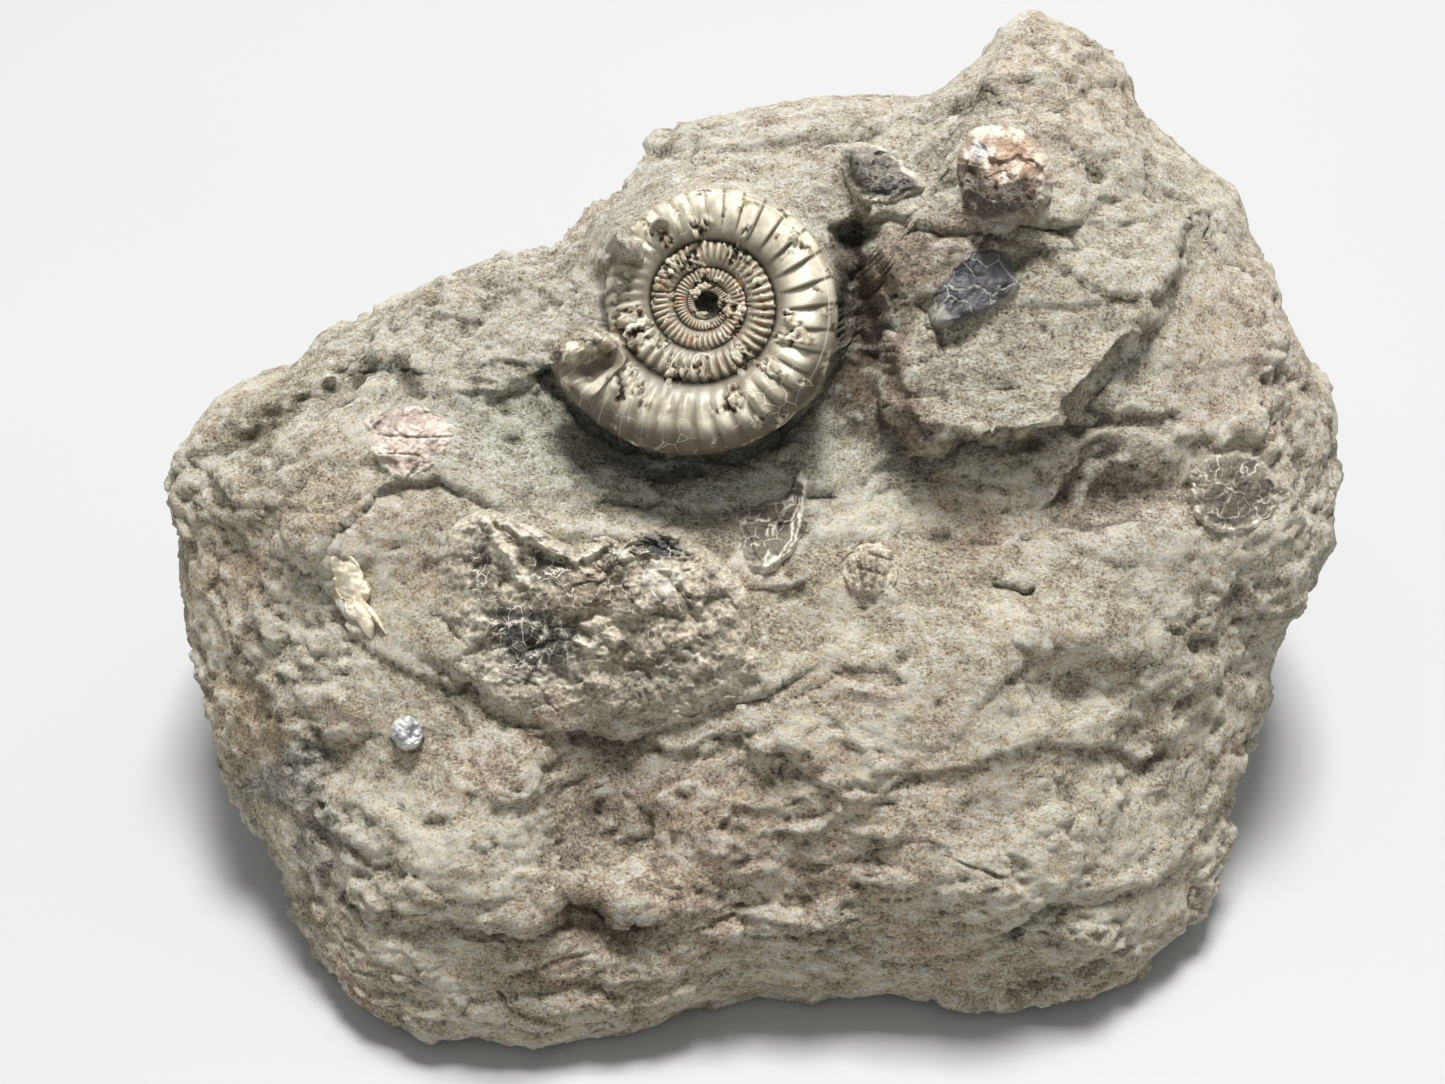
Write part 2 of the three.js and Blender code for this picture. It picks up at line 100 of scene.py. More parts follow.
class Noise:
    """Repeatable noise in space, from random slopes at the corners of a lattice."""

    TABLE = 256
    CORNERS = tuple(product((0, 1), repeat=3))
    NEIGHBOURS = tuple(product((-1, 0, 1), repeat=3))
    GAIN = 1.7
    LAYER_SHIFT = 19.7
    RIDGE_SHIFT = 23.1

    def __init__(self, seed: int) -> None:
        """Draw the tables for one kind of noise.

        Args:
            seed: Any number; the same one gives the same noise.
        """
        rng = np.random.default_rng(seed)
        self.order = rng.permutation(self.TABLE)
        slopes = rng.normal(size=(self.TABLE, 3))
        self.slopes = slopes / np.linalg.norm(slopes, axis=1, keepdims=True)
        self.scatter = rng.random((self.TABLE, 3))

    def _pick(self, cell: Array) -> Array:
        """Give each lattice corner a table row that looks random.

        Args:
            cell: Whole coordinates of the corners, one per row.

        Returns:
            A row number for each corner.
        """
        last = self.TABLE - 1
        first = self.order[cell[:, 0] & last]
        second = self.order[(first + cell[:, 1]) & last]
        return self.order[(second + cell[:, 2]) & last]

    def smooth(self, points: Array, size: float) -> Array:
        """Give smooth noise: at each lattice corner a slope, blended by a fifth-power curve between corners.

        Args:
            points: Places, one per row.
            size: Distance between lattice corners.

        Returns:
            About -1 to 1 for each point.
        """
        scaled = points / size
        cell = np.floor(scaled).astype(np.int64)
        part = scaled - cell
        weight = part**3 * (part * (part * 6.0 - 15.0) + 10.0)
        total = np.zeros(len(points))
        for corner in self.CORNERS:
            step = np.array(corner)
            lift = ((part - step) * self.slopes[self._pick(cell + step)]).sum(axis=1)
            total += lift * np.where(step == 1, weight, 1.0 - weight).prod(axis=1)
        return total * self.GAIN

    def layered(self, points: Array, size: float, layers: int, fade: float = 0.5) -> Array:
        """Sum smooth noise at halving sizes, each weaker by fade.

        Args:
            points: Places, one per row.
            size: Distance between lattice corners in the first layer.
            layers: Number of layers.
            fade: Strength of each layer over the one before.

        Returns:
            The sum for each point.
        """
        total = np.zeros(len(points))
        for layer in range(layers):
            total += fade**layer * self.smooth(points + self.LAYER_SHIFT * layer, size / 2**layer)
        return total

    def ridged(self, points: Array, size: float, layers: int, fade: float = 0.5) -> Array:
        """Sum ridges, 1 - 2 |noise|, at halving sizes: sharp crests between rounded hollows.

        Args:
            points: Places, one per row.
            size: Distance between lattice corners in the first layer.
            layers: Number of layers.
            fade: Strength of each layer over the one before.

        Returns:
            The sum for each point.
        """
        total = np.zeros(len(points))
        for layer in range(layers):
            smooth = self.smooth(points - self.RIDGE_SHIFT * layer, size / 2**layer)
            total += fade**layer * (1.0 - 2.0 * np.abs(smooth))
        return total

    def nearest(self, points: Array, size: float) -> Array:
        """Scatter one seed in each lattice cell and find the nearest.

        Args:
            points: Places, one per row.
            size: Width of a cell.

        Returns:
            Distance to the nearest seed, in cells.
        """
        scaled = points / size
        cell = np.floor(scaled).astype(np.int64)
        near = np.full(len(points), np.inf)
        for neighbour in self.NEIGHBOURS:
            other = cell + np.array(neighbour)
            near = np.minimum(near, np.linalg.norm(other + self.scatter[self._pick(other)] - scaled, axis=1))
        return near


SWELL_NOISE = Noise(11)
KNOB_NOISE = Noise(23)
FLAKE_NOISE = Noise(37)
GRIT_NOISE = Noise(41)
TINT_NOISE = Noise(59)


class RoundCurve:
    """A closed curve of value against angle through chosen points, with smooth joins."""

    def __init__(self, points: Sequence[Point]) -> None:
        """Sort the points and find the slope at each from its neighbours.

        Args:
            points: Pairs of angle in radians and value.
        """
        pairs = np.array(sorted((angle % TURN, value) for angle, value in points))
        wrapped = np.vstack([pairs[-2:] - [TURN, 0.0], pairs, pairs[:3] + [TURN, 0.0]])
        self.angles = wrapped[1:-1, 0]
        self.values = wrapped[1:-1, 1]
        self.slopes = (wrapped[2:, 1] - wrapped[:-2, 1]) / (wrapped[2:, 0] - wrapped[:-2, 0])

    def __call__(self, angle: Array) -> Array:
        """Read the curve: a cubic between neighbouring points that keeps both slopes.

        Args:
            angle: Angles in radians.

        Returns:
            The values there.
        """
        turn = np.mod(angle, TURN)
        i = np.clip(np.searchsorted(self.angles, turn, side="right") - 1, 0, len(self.angles) - 2)
        width = self.angles[i + 1] - self.angles[i]
        s = (turn - self.angles[i]) / width
        rise = self.values[i + 1] - self.values[i]
        bend = self.slopes[i] * width * (1 - s) ** 2 - self.slopes[i + 1] * width * s * (1 - s)
        return self.values[i] + s * (bend + rise * s * (3.0 - 2.0 * s))


# ---------------------------------------------------------------- meshes


@dataclass(frozen=True)
class PolarGrid:
    """Rings of vertices round a middle: ring i holds 6 i vertices, so the triangles stay even."""

    rings: int

    @property
    def count(self) -> int:
        """Number of vertices."""
        return 1 + 3 * self.rings * (self.rings + 1)

    def ring_and_angle(self) -> tuple[Array, Array]:
        """Give each vertex's ring number and angle.

        Returns:
            The ring numbers and the angles in radians.
        """
        ring = np.concatenate([[0], np.repeat(np.arange(1, self.rings + 1), 6 * np.arange(1, self.rings + 1))])
        place = np.arange(self.count) - np.where(ring == 0, 0, 1 + 3 * ring * (ring - 1))
        return ring, TURN * place / np.maximum(1, 6 * ring)

    def triangles(self) -> Array:
        """Join each ring to the one inside it, turning counter-clockwise.

        Returns:
            Three vertex numbers per row.
        """
        parts = []
        for ring in range(1, self.rings + 1):
            sector, j = np.divmod(np.arange(6 * ring), ring)
            outer_start = 1 + 3 * ring * (ring - 1)
            inner_start = 1 + 3 * (ring - 1) * (ring - 2) if ring > 1 else 0
            inner_count = max(1, 6 * (ring - 1))
            inner = inner_start + (sector * (ring - 1) + j) % inner_count
            after = inner_start + (sector * (ring - 1) + j + 1) % inner_count
            outer = outer_start + sector * ring + j
            beyond = outer_start + (sector * ring + j + 1) % (6 * ring)
            parts.append(np.stack([inner, outer, beyond], axis=1))
            wide = j < ring - 1
            parts.append(np.stack([inner, beyond, after], axis=1)[wide])
        return np.vstack(parts)


@dataclass(frozen=True)
class LensGrid:
    """A closed surface of two polar grids, a fine front and a back of half as many rings, stitched at the rim."""

    rings: int

    @property
    def front(self) -> PolarGrid:
        """Grid of the front."""
        return PolarGrid(self.rings)

    @property
    def back(self) -> PolarGrid:
        """Grid of the back."""
        return PolarGrid(self.rings // 2)

    def share_and_angle(self) -> tuple[Array, Array, Array]:
        """Place the vertices of both grids.

        Returns:
            Each vertex's share of the way from the middle to the rim, its angle, and whether it is on the front.
        """
        ring, angle = self.front.ring_and_angle()
        back_ring, back_angle = self.back.ring_and_angle()
        share = np.concatenate([ring / self.front.rings, back_ring / self.back.rings])
        return share, np.concatenate([angle, back_angle]), np.arange(len(share)) < len(ring)

    def triangles(self) -> Array:
        """Join the front's triangles, the back's turned over, and three for each step of the seam between them.

        Returns:
            Three vertex numbers per row.
        """
        front, back = self.front, self.back
        k = np.arange(6 * back.rings)
        next_k = (k + 1) % len(k)
        outer = front.count - 6 * front.rings
        lower = front.count + back.count - 6 * back.rings
        first, middle, last = outer + 2 * k, outer + 2 * k + 1, outer + (2 * k + 2) % (6 * front.rings)
        here, there = lower + k, lower + next_k
        seam = [(first, here, middle), (middle, here, there), (middle, there, last)]
        stitched = np.vstack([np.stack(corners, axis=1) for corners in seam])
        return np.vstack([front.triangles(), front.count + back.triangles()[:, ::-1], stitched])


def vertex_normals(points: Array, triangles: Array) -> Array:
    """Average the directions of the faces round each vertex, weighted by their areas.

    Args:
        points: Vertices, one per row.
        triangles: Three vertex numbers per row.

    Returns:
        One unit vector per vertex.
    """
    a, b, c = (points[triangles[:, i]] for i in range(3))
    faces = np.cross(b - a, c - a)
    corner = triangles.ravel()
    total = [np.bincount(corner, np.repeat(faces[:, axis], 3), len(points)) for axis in range(3)]
    normals = np.stack(total, axis=1)
    return normals / np.maximum(np.linalg.norm(normals, axis=1, keepdims=True), 1e-12)


def evened(values: Array, triangles: Array, rounds: int) -> Array:
    """Average each value with its neighbours over the mesh, a number of times.

    Args:
        values: One value per vertex.
        triangles: Three vertex numbers per row.
        rounds: Number of times.

    Returns:
        The evened values.
    """
    start = triangles.ravel()
    end = triangles[:, [1, 2, 0]].ravel()
    counts = np.bincount(start, minlength=len(values)) + np.bincount(end, minlength=len(values))
    for _ in range(rounds):
        near = np.bincount(start, values[end], len(values)) + np.bincount(end, values[start], len(values))
        values = near / np.maximum(counts, 1)
    return values


def make_piece(name: str, points: Array, triangles: Array, marks: dict[str, Array]) -> bpy.types.Object:
    """Make a smooth mesh object from arrays.

    Args:
        name: The object's name.
        points: Vertices in millimetres, one per row.
        triangles: Three vertex numbers per row.
        marks: Values for each vertex, by name: one number each, or a colour of three.

    Returns:
        The new object, at the origin.
    """
    mesh = bpy.data.meshes.new(name)
    mesh.vertices.add(len(points))
    mesh.vertices.foreach_set("co", (points * MM).astype(np.float32).ravel())
    mesh.loops.add(triangles.size)
    mesh.loops.foreach_set("vertex_index", triangles.astype(np.int32).ravel())
    mesh.polygons.add(len(triangles))
    mesh.polygons.foreach_set("loop_start", np.arange(0, triangles.size, 3, dtype=np.int32))
    mesh.polygons.foreach_set("use_smooth", np.ones(len(triangles), dtype=bool))
    for key, values in marks.items():
        if values.ndim == 1:
            layer = mesh.attributes.new(key, "FLOAT", "POINT")
            layer.data.foreach_set("value", values.astype(np.float32))
        else:
            layer = mesh.attributes.new(key, "FLOAT_COLOR", "POINT")
            opaque = np.hstack([values, np.ones((len(values), 1))])
            layer.data.foreach_set("color", opaque.astype(np.float32).ravel())
    mesh.update(calc_edges=True)
    piece = bpy.data.objects.new(name, mesh)
    bpy.context.scene.collection.objects.link(piece)
    return piece


# ---------------------------------------------------------------- the face and its relief


@dataclass(frozen=True)
class FaceFrame:
    """The leaning face of the block, and the way from its coordinates to the part's.

    Attributes:
        elevation: How far the face's normal points above the horizon, in radians.
        front: Distance from the foremost point of the block to the face's middle.
        height: Height of the face's middle over the base.
        flare: The sides stand out by n / flare of their distance from the middle, n behind the face.
    """

    elevation: float = math.radians(42.0)
    front: float = 30.6
    height: float = 47.0
    flare: float = 200.0

    @property
    def centre(self) -> Array:
        """Middle of the face, in millimetres."""
        low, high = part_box("matrix_block")
        return np.array([(low[0] + high[0]) / 2.0 / MM, low[1] / MM + self.front, low[2] / MM + self.height])

    @property
    def out(self) -> Array:
        """Unit vector out of the face."""
        return np.array([0.0, -math.cos(self.elevation), math.sin(self.elevation)])

    def place(self, a: Array, b: Array, n: Array) -> Array:
        """Turn face coordinates into points of the part, in millimetres.

        The point is the middle + a * right * k + b * up the face * k + n * out, where k = 1 - n / flare.

        Args:
            a: To the right.
            b: Up the face.
            n: Out of the face.

        Returns:
            One point per row.
        """
        k = 1.0 - n / self.flare
        y = math.sin(self.elevation) * b * k - math.cos(self.elevation) * n
        z = math.cos(self.elevation) * b * k + math.sin(self.elevation) * n
        return self.centre + np.stack([a * k, y, z], axis=-1)


FACE = FaceFrame()


@dataclass(frozen=True)
class Swell:
    """A broad soft hump or hollow: height * exp(-u^2 - v^2), u and v its own turned and scaled coordinates."""

    at: Point
    size: Point
    turn: float
    height: float

    def share(self, a: Array, b: Array) -> Array:
        """Give its strength at places on the face.

        Args:
            a: To the right.
            b: Up the face.

        Returns:
            1 in its middle, and less round it.
        """
        angle = math.radians(self.turn)
        da, db = a - self.at[0], b - self.at[1]
        u = (da * math.cos(angle) + db * math.sin(angle)) / self.size[0]
        v = (db * math.cos(angle) - da * math.sin(angle)) / self.size[1]
        return np.exp(-(u * u + v * v))

    def lift(self, a: Array, b: Array) -> Array:
        """Give its height at (a, b)."""
        return self.height * self.share(a, b)


def path_distance(a: Array, b: Array, path: Sequence[Point]) -> tuple[Array, Array]:
    """Find how far points lie from a path of straight steps, and on which side.

    Args:
        a: To the right.
        b: Up the face.
        path: The path's corners in order.

    Returns:
        The distance, and 1 on the path's left or -1 on its right.
    """
    nearest = np.full(np.shape(a), np.inf)
    side = np.ones(np.shape(a))
    for (x0, y0), (x1, y1) in zip(path[:-1], path[1:]):
        dx, dy = x1 - x0, y1 - y0
        t = np.clip(((a - x0) * dx + (b - y0) * dy) / (dx * dx + dy * dy), 0.0, 1.0)
        gap = np.hypot(a - x0 - t * dx, b - y0 - t * dy)
        left = np.sign(dx * (b - y0) - dy * (a - x0))
        side = np.where(gap < nearest, left, side)
        nearest = np.minimum(nearest, gap)
    return nearest, side


def inside_distance(a: Array, b: Array, outline: Sequence[Point]) -> Array:
    """Find how far points lie from a closed outline: the sign flips at each edge that a ray crosses.

    Args:
        a: To the right.
        b: Up the face.
        outline: The outline's corners in order.

    Returns:
        The distance, positive inside the outline.
    """
    closed = [*outline, outline[0]]
    nearest, _ = path_distance(a, b, closed)
    inside = np.zeros(np.shape(a), dtype=bool)
    for (x0, y0), (x1, y1) in zip(closed[:-1], closed[1:]):
        if y0 != y1:
            crosses = (y0 > b) != (y1 > b)
            inside ^= crosses & (a < (x1 - x0) * (b - y0) / (y1 - y0) + x0)
    return np.where(inside, nearest, -nearest)


@dataclass(frozen=True)
class Ledge:
    """An area that stands over its surroundings, with a broken edge of a given width."""

    outline: tuple[Point, ...]
    height: float
    edge: float

    def lift(self, a: Array, b: Array) -> Array:
        """Give its height at (a, b): it rises by a smooth step over the width of its edge."""
        return self.height * smoothstep(inside_distance(a, b, self.outline) / self.edge + 0.5)


@dataclass(frozen=True)
class Crack:
    """A dark narrow valley along a path, whose left side may stand over its right.

    Attributes:
        path: Its corners in order.
        width: Half width of the valley.
        depth: Depth of the valley.
        step: How far its left lip stands up.
        reach: How far back from the lip that takes to fade.
    """

    path: tuple[Point, ...]
    width: float
    depth: float
    step: float = 0.0
    reach: float = 5.0

    def share(self, a: Array, b: Array) -> Array:
        """Give its strength at (a, b), 1 along its path."""
        gap, _ = path_distance(a, b, self.path)
        return np.exp(-((gap / self.width) ** 2))

    def lift(self, a: Array, b: Array) -> Array:
        """Give its height: -depth * exp(-(distance / width)^2), and a lip on the left that fades away.

        Args:
            a: To the right.
            b: Up the face.

        Returns:
            The height at each place.
        """
        gap, side = path_distance(a, b, self.path)
        lip = self.step * np.exp(-gap / self.reach) * smoothstep(side * gap / self.width + 0.5)
        return lip - self.depth * np.exp(-((gap / self.width) ** 2))


RIM: tuple[Point, ...] = (
    (57.7, 0), (58.3, 10.2), (57.3, 15.4), (55, 20), (52.5, 24.8), (50, 29.2), (48.4, 33.6), (44.6, 37), (41, 41),
    (38, 45), (33.8, 48.8), (29.6, 51.4), (27.8, 51.8), (26.4, 50.4), (24.6, 48.2), (22, 46.8), (18.6, 44.2),
    (15.8, 43.7), (8, 44), (1.5, 42.6), (-3.8, 41), (-8.2, 38.4), (-12.4, 34.8), (-15.4, 32), (-17.6, 29.2),
    (-21, 27.2), (-26.4, 26.3), (-32, 25), (-38.4, 22), (-45.6, 16.8), (-51.6, 14.4), (-56, 10), (-58.2, 5),
    (-58, 1.6), (-57.2, -0.4), (-57.3, -5), (-56.6, -10), (-54.4, -14.4), (-53, -20), (-51.4, -25), (-49.6, -29.4),
    (-46.6, -35.4), (-44.6, -40.6), (-41, -45), (-37, -48.2), (-31, -50.4), (-25, -51.8), (-18.5, -50.8),
    (-10, -49.2), (-2, -46.6), (4, -46), (12.3, -45.4), (19, -46.4), (27.3, -46.8), (32.4, -46.3), (38.6, -44.2),
    (43.4, -40), (46.2, -33.5), (47.6, -27.5), (49, -22), (51, -16.4), (51.8, -12.4), (55.4, -7.2),
)
# How far the rim lies behind the face's middle, as (degrees round from +a, depth).
RIM_DEPTH: tuple[Point, ...] = (
    (0, 20), (30, 19), (58, 16), (80, 15), (105, 13), (130, 15), (160, 20), (185, 20), (212, 18), (230, 12),
    (244, 9.5), (258, 11.5), (270, 14), (300, 13.4), (312, 16), (330, 19),
)

FRONT_SWELLS = {
    "hollow_under_the_ammonite": Swell((-9, 9), (17, 6.5), -6, -4.8),
    "gully_beside_the_ammonite": Swell((12.5, 17), (5, 13), 8, -2),
    "swell_of_the_large_shell": Swell((-13, -9), (17, 9), -3, 3.2),
    "valley_below_the_large_shell": Swell((-14, -29), (6, 13), 4, -4.6),
    "lower_left_lobe": Swell((-31, -29), (14, 16), 0, 3),
    "lower_right_lobe": Swell((22, -24), (24, 15), 10, 3.4),
    "left_shoulder": Swell((-41, 1), (14, 10), 20, 2.2),
    "shoulder_valley": Swell((-43, 13.6), (15, 2.6), 30, -3.6),
    "hollow_left_of_the_round_shell": Swell((38, 4), (7, 3.0), 5, -2.8),
    "hollow_at_the_right_edge": Swell((49, -8), (6, 5), 30, -3.4),
}
OVER_COIL = {
    "grey_lump_on_the_coil": Swell((-11.4, 27.7), (1.7, 1.5), 0, 5.4),
    "purple_lump_on_the_coil": Swell((-8.9, 30.6), (1.5, 1.1), 20, 4.6),
    "lump_left_on_the_coil": Swell((-13.1, 24.3), (1.3, 1.4), 0, 4.2),
    "crumbs_between_the_lumps": Swell((-13.0, 29.6), (1.8, 1.6), 30, 4.8),
    "outer_crumb": Swell((-14.6, 27.4), (1.2, 1.3), 0, 3.0),
    "navel": Swell((-4.2, 23.6), (1.2, 1.1), 0, -1.0),
}
BACK_SWELLS = {
    "upper_ridge": Swell((20, 24), (26, 12), 30, 4),
    "left_hollow": Swell((-34, 12), (16, 12), -20, -5),
    "left_lower_swell": Swell((-30, -18), (18, 14), 10, 4),
    "middle_hollow": Swell((2, -2), (12, 22), 15, -4),
    "right_swell": Swell((32, -8), (14, 20), -10, 4),
}
SLAB_OUTLINE: tuple[Point, ...] = (
    (9.5, 38), (14, 39.6), (21, 41), (31, 42), (38, 40), (44, 36.4), (45.4, 31.8), (43, 27.4), (41, 23.4), (39, 18.8),
    (34.6, 15), (31, 10.4), (28, 9.6), (21, 9.6), (17.4, 8), (15, 9.8), (13, 13.6), (13.5, 21), (11, 27), (12, 32),
)
LEDGES = {
    "slab": Ledge(SLAB_OUTLINE, 3.6, 2.0),
    "upper_plate": Ledge(
        ((20, 34.6), (24, 32.4), (30, 32), (36, 30.5), (44.5, 33), (45, 38), (36, 41), (24, 42), (20, 40)), 1.0, 0.9
    ),
    "flap_over_the_round_shell": Ledge(
        ((46.4, 9.0), (47.0, 10.8), (50.2, 12.8), (53.2, 10.0), (51.4, 8.8), (48.6, 9.4)), 0.9, 0.5
    ),
    "lower_plate": Ledge(
        ((13.5, 20), (17, 20), (21, 22.4), (27, 26.6), (33, 28), (40, 26.6), (41, 24), (38, 18.5), (34, 14.5),
         (30.5, 10.5), (27, 10), (20, 10.4), (16, 10.6)), 0.9, 0.8
    ),
}
CRACKS = {
    "shoulder_groove": Crack(
        ((-56, 7), (-53.5, 7.4), (-50, 9.5), (-46, 13.4), (-43, 14.6), (-41, 15.4), (-37, 15.9), (-33, 16.4)), 1.3, 1.6
    ),
    "lower_left_lip": Crack(
        ((-36, -39), (-34.3, -39.6), (-25, -39.6), (-22.9, -40.3), (-18.6, -39.6), (-17.9, -36.7), (-9.3, -38.9)),
        0.7, 1.4, 2.2, 6.0
    ),
    "lower_right_crack": Crack(
        ((8, -46.5), (12, -45.1), (18, -43), (25, -40.6), (30, -37.1), (33, -36.8), (36, -37.1), (41, -35),
        (45, -32.6)),
        0.6, 1.5, 1.6, 7.0
    ),
    "break_below_the_large_shell": Crack(
        ((-30, -14), (-26, -17), (-19, -19.8), (-12, -20.4), (-6, -19), (1, -15.8)), 0.8, 0.8, 1.2, 5.0
    ),
    "slit_in_the_middle_right": Crack(((24.5, -5.5), (26.5, -5.8), (28, -5.3)), 0.35, 1.2),
    "crack_left_of_the_large_shell": Crack(((-31.7, -8), (-30.4, -9), (-28.8, -10.6)), 0.3, 1.0),
    "curled_edge": Crack(
        ((-28.5, 4.4), (-31.4, 5.6), (-35, 5), (-38.5, 3.4), (-41, 1.6), (-43, -1.5)), 0.5, 0.7, -1.1, 4.0
    ),
    "crevice_beside_the_ammonite": Crack(
        ((10.0, 29), (10.6, 24), (10.8, 18), (8.6, 13.0), (9.0, 9.5)), 1.7, 2.2
    ),
    "slab_edge": Crack(
        ((17, 7.6), (22, 9.2), (28.5, 9.2), (32.2, 12.1), (36, 16.2), (39.1, 20), (40.8, 24.1), (42.6, 28), (45.6, 32)),
        0.55, 1.3, 1.3, 5.0
    ),
    "edge_under_the_upper_plate": Crack(
        ((13, 31), (17.7, 30), (21, 29.6), (27, 31.0), (31, 30.4), (36, 32.6)), 0.5, 1.0, 0.9, 3.0
    ),
    "edge_beside_the_gully": Crack(
        ((15.4, 8.6), (13.4, 12.8), (13.8, 17.5), (15.0, 21.5), (13.2, 26.6), (12.6, 31.0)), 0.7, 0.6, -1.2, 3.0
    ),
    "crack_in_the_slab": Crack(((12.5, 22.3), (15, 19.8), (17, 18.6), (20.5, 19.4)), 0.45, 0.9),
}
PITS = {
    "scoop_at_the_lower_right": Swell((32, -15.5), (6, 2.6), 6, -1.8),
    "shelf_over_the_scoop": Swell((30, -9), (9, 3.6), 4, 1.4),
    "undercut_at_the_foot": Swell((7, -44.4), (9, 2.0), -4, -3.0),
    "knob_of_the_left_shoulder": Swell((-47, 2), (6, 5), 10, 1.6),
    "dip_below_the_left_shoulder": Swell((-45, -7), (7, 3), 20, -1.8),
    "lobe_under_the_dip": Swell((-47, -14), (5, 5), 0, 1.6),
    "lobe_low_on_the_left": Swell((-33, -33), (7, 5), 10, 1.6),
    "bench_low_on_the_left": Swell((-26, -25), (6, 3), -20, 1.3),
    "knob_in_the_middle": Swell((12, -14), (5, 4), 0, 1.3),
    "lobe_at_the_foot": Swell((22, -33), (8, 4), 10, 1.6),
    "dip_at_the_foot": Swell((4, -35), (7, 3.4), 20, -1.7),
    "knob_at_the_right": Swell((44, -22), (4, 6), 10, 1.4),
    "dip_over_the_right_knob": Swell((40, -26), (3, 7), 10, -1.3),
    "horn_face": Swell((31, 44), (5, 6), 20, 1.6),
    "dip_under_the_horn": Swell((22, 43.5), (4, 3), 20, -1.6),
    "shoulder_pit": Swell((-37, 15.8), (2.4, 0.9), 0, -1.8),
    "shoulder_pit_left": Swell((-49.5, 9.4), (1.8, 0.8), 20, -1.4),
    "round_pit": Swell((-29.8, 19.5), (0.5, 0.45), 0, -1.4),
    "hollow_under_the_lip": Swell((-13.5, -39.8), (5, 2), -8, -2),
    "pocket_beside_the_coil": Swell((10.4, 30.4), (2.6, 1.5), -10, -3.2),
    "lump_below_the_large_shell": Swell((2, -21), (2.6, 2.4), 0, 1.2),
    "lump_at_the_right": Swell((39, -10.5), (4, 3.4), 0, 1.4),
    "lump_under_the_coil": Swell((-18.6, 6.6), (3.6, 2.6), -20, 1.6),
    "bank_under_the_coil": Swell((-5, 7.6), (9, 1.4), 8, 1.6),
}


@dataclass(frozen=True)
class Coil:
    """Where the ammonite lies, and the size and growth of its spiral.

    Attributes:
        at: Middle of the coil on the face.
        stand: Its middle plane over the face's own middle.
        lean: How far its far side tips back, in radians.
        lean_towards: The direction of that side.
        radius: From the middle to the outer edge at the mouth.
        mouth_angle: Where the mouth lies.
        growth: The radius grows by this in each turn.
        turns: Number of turns.
        bed: The matrix that holds it lies this far behind its middle plane.
        bed_radius: Where that bed ends.
        bed_slope: How wide its edge is.
    """

    at: Point = (-4.4, 23.0)
    stand: float = 1.4
    lean: float = math.radians(9.0)
    lean_towards: float = math.radians(135.0)
    radius: float = 17.0
    mouth_angle: float = math.radians(202.0)
    growth: float = 1.72
    turns: float = 4.2
    bed: float = 1.0
    bed_radius: float = 15.0
    bed_slope: float = 5.0

    def plane(self, a: Array, b: Array) -> Array:
        """Height of its middle plane at (a, b)."""
        towards = (a - self.at[0]) * math.cos(self.lean_towards) + (b - self.at[1]) * math.sin(self.lean_towards)
        return self.stand - towards * math.tan(self.lean)

    def point(self, r: Array, angle: Array, over: Array) -> Array:
        """Turn the coil's own coordinates into points of the part.

        Args:
            r: Distance from its axis.
            angle: Angle round it.
            over: Height over its plane.

        Returns:
            One point per row.
        """
        a, b = r * np.cos(angle), r * np.sin(angle)
        ca, sa = math.cos(self.lean_towards), math.sin(self.lean_towards)
        towards = a * ca + b * sa
        slid = towards * (math.cos(self.lean) - 1.0) + over * math.sin(self.lean)
        n = self.stand + over * math.cos(self.lean) - towards * math.sin(self.lean)
        return FACE.place(self.at[0] + a + slid * ca, self.at[1] + b + slid * sa, n)

    def outer(self, back: Array) -> Array:
        """Outer radius, a number of turns back from the mouth."""
        return self.radius * self.growth ** -np.asarray(back)


COIL = Coil()


# ---------------------------------------------------------------- the block


class Tone(Enum):
    """Named screen colours."""

    @property
    def colour(self) -> Array:
        """The linear colour."""
        return linear(*self.value)


class StoneTone(Tone):
    """Colours of the limestone."""

    CREAM = (250, 242, 219)
    GREY = (208, 197, 173)
    OLIVE = (166, 159, 135)
    BROWN = (170, 149, 130)
    TAN = (226, 203, 179)
    OCHRE = (196, 170, 126)
    GREEN_GREY = (196, 198, 182)
    PALE_GREY = (232, 226, 210)
    DARK = (88, 84, 72)
    BLUE_GREY = (150, 151, 150)
    # Pale crust, partly a painted highlight on the crests.
    CRUST_AND_HIGHLIGHT = (240, 235, 217)
    # Painted shade in hollows.
    HOLLOW_SHADE = (104, 96, 80)
    # Painted shade in deep recesses.
    DEEP_SHADE = (74, 66, 52)
    PORE = (98, 91, 79)
    CRACK = (58, 52, 44)


class ShellTone(Tone):
    """Colours of the coiled shell."""

    BODY = (156, 149, 128)
    PALE_BODY = (212, 205, 183)
    AGED = (150, 134, 106)
    # Painted shade between the ribs.
    VALLEY_SHADE = (88, 78, 58)
    # Painted shade on the inner wall of a whorl and under its lower flank.
    WALL_SHADE = (78, 66, 50)
    # Painted highlight on the rib crests.
    GLEAM = (236, 231, 210)
    CRUMB = (156, 142, 112)
    PALE_CRUMB = (222, 216, 194)
    HAIR_CRACK = (240, 236, 220)
    # Dark pores and pits, and painted shade inside the mouth's ring.
    PORE = (66, 54, 40)
    # Painted shade in the seam between whorls.
    SEAM_SHADE = (34, 27, 19)
    RUST = (158, 88, 54)
    GOLD = (206, 172, 104)


@dataclass(frozen=True)
class FacePatch:
    """A soft patch of one stone colour on the face: most are stains; a few are painted shade, and one is painted light,
    as said beside each.
    """

    tone: StoneTone
    at: Point
    size: Point
    turn: float
    strength: float
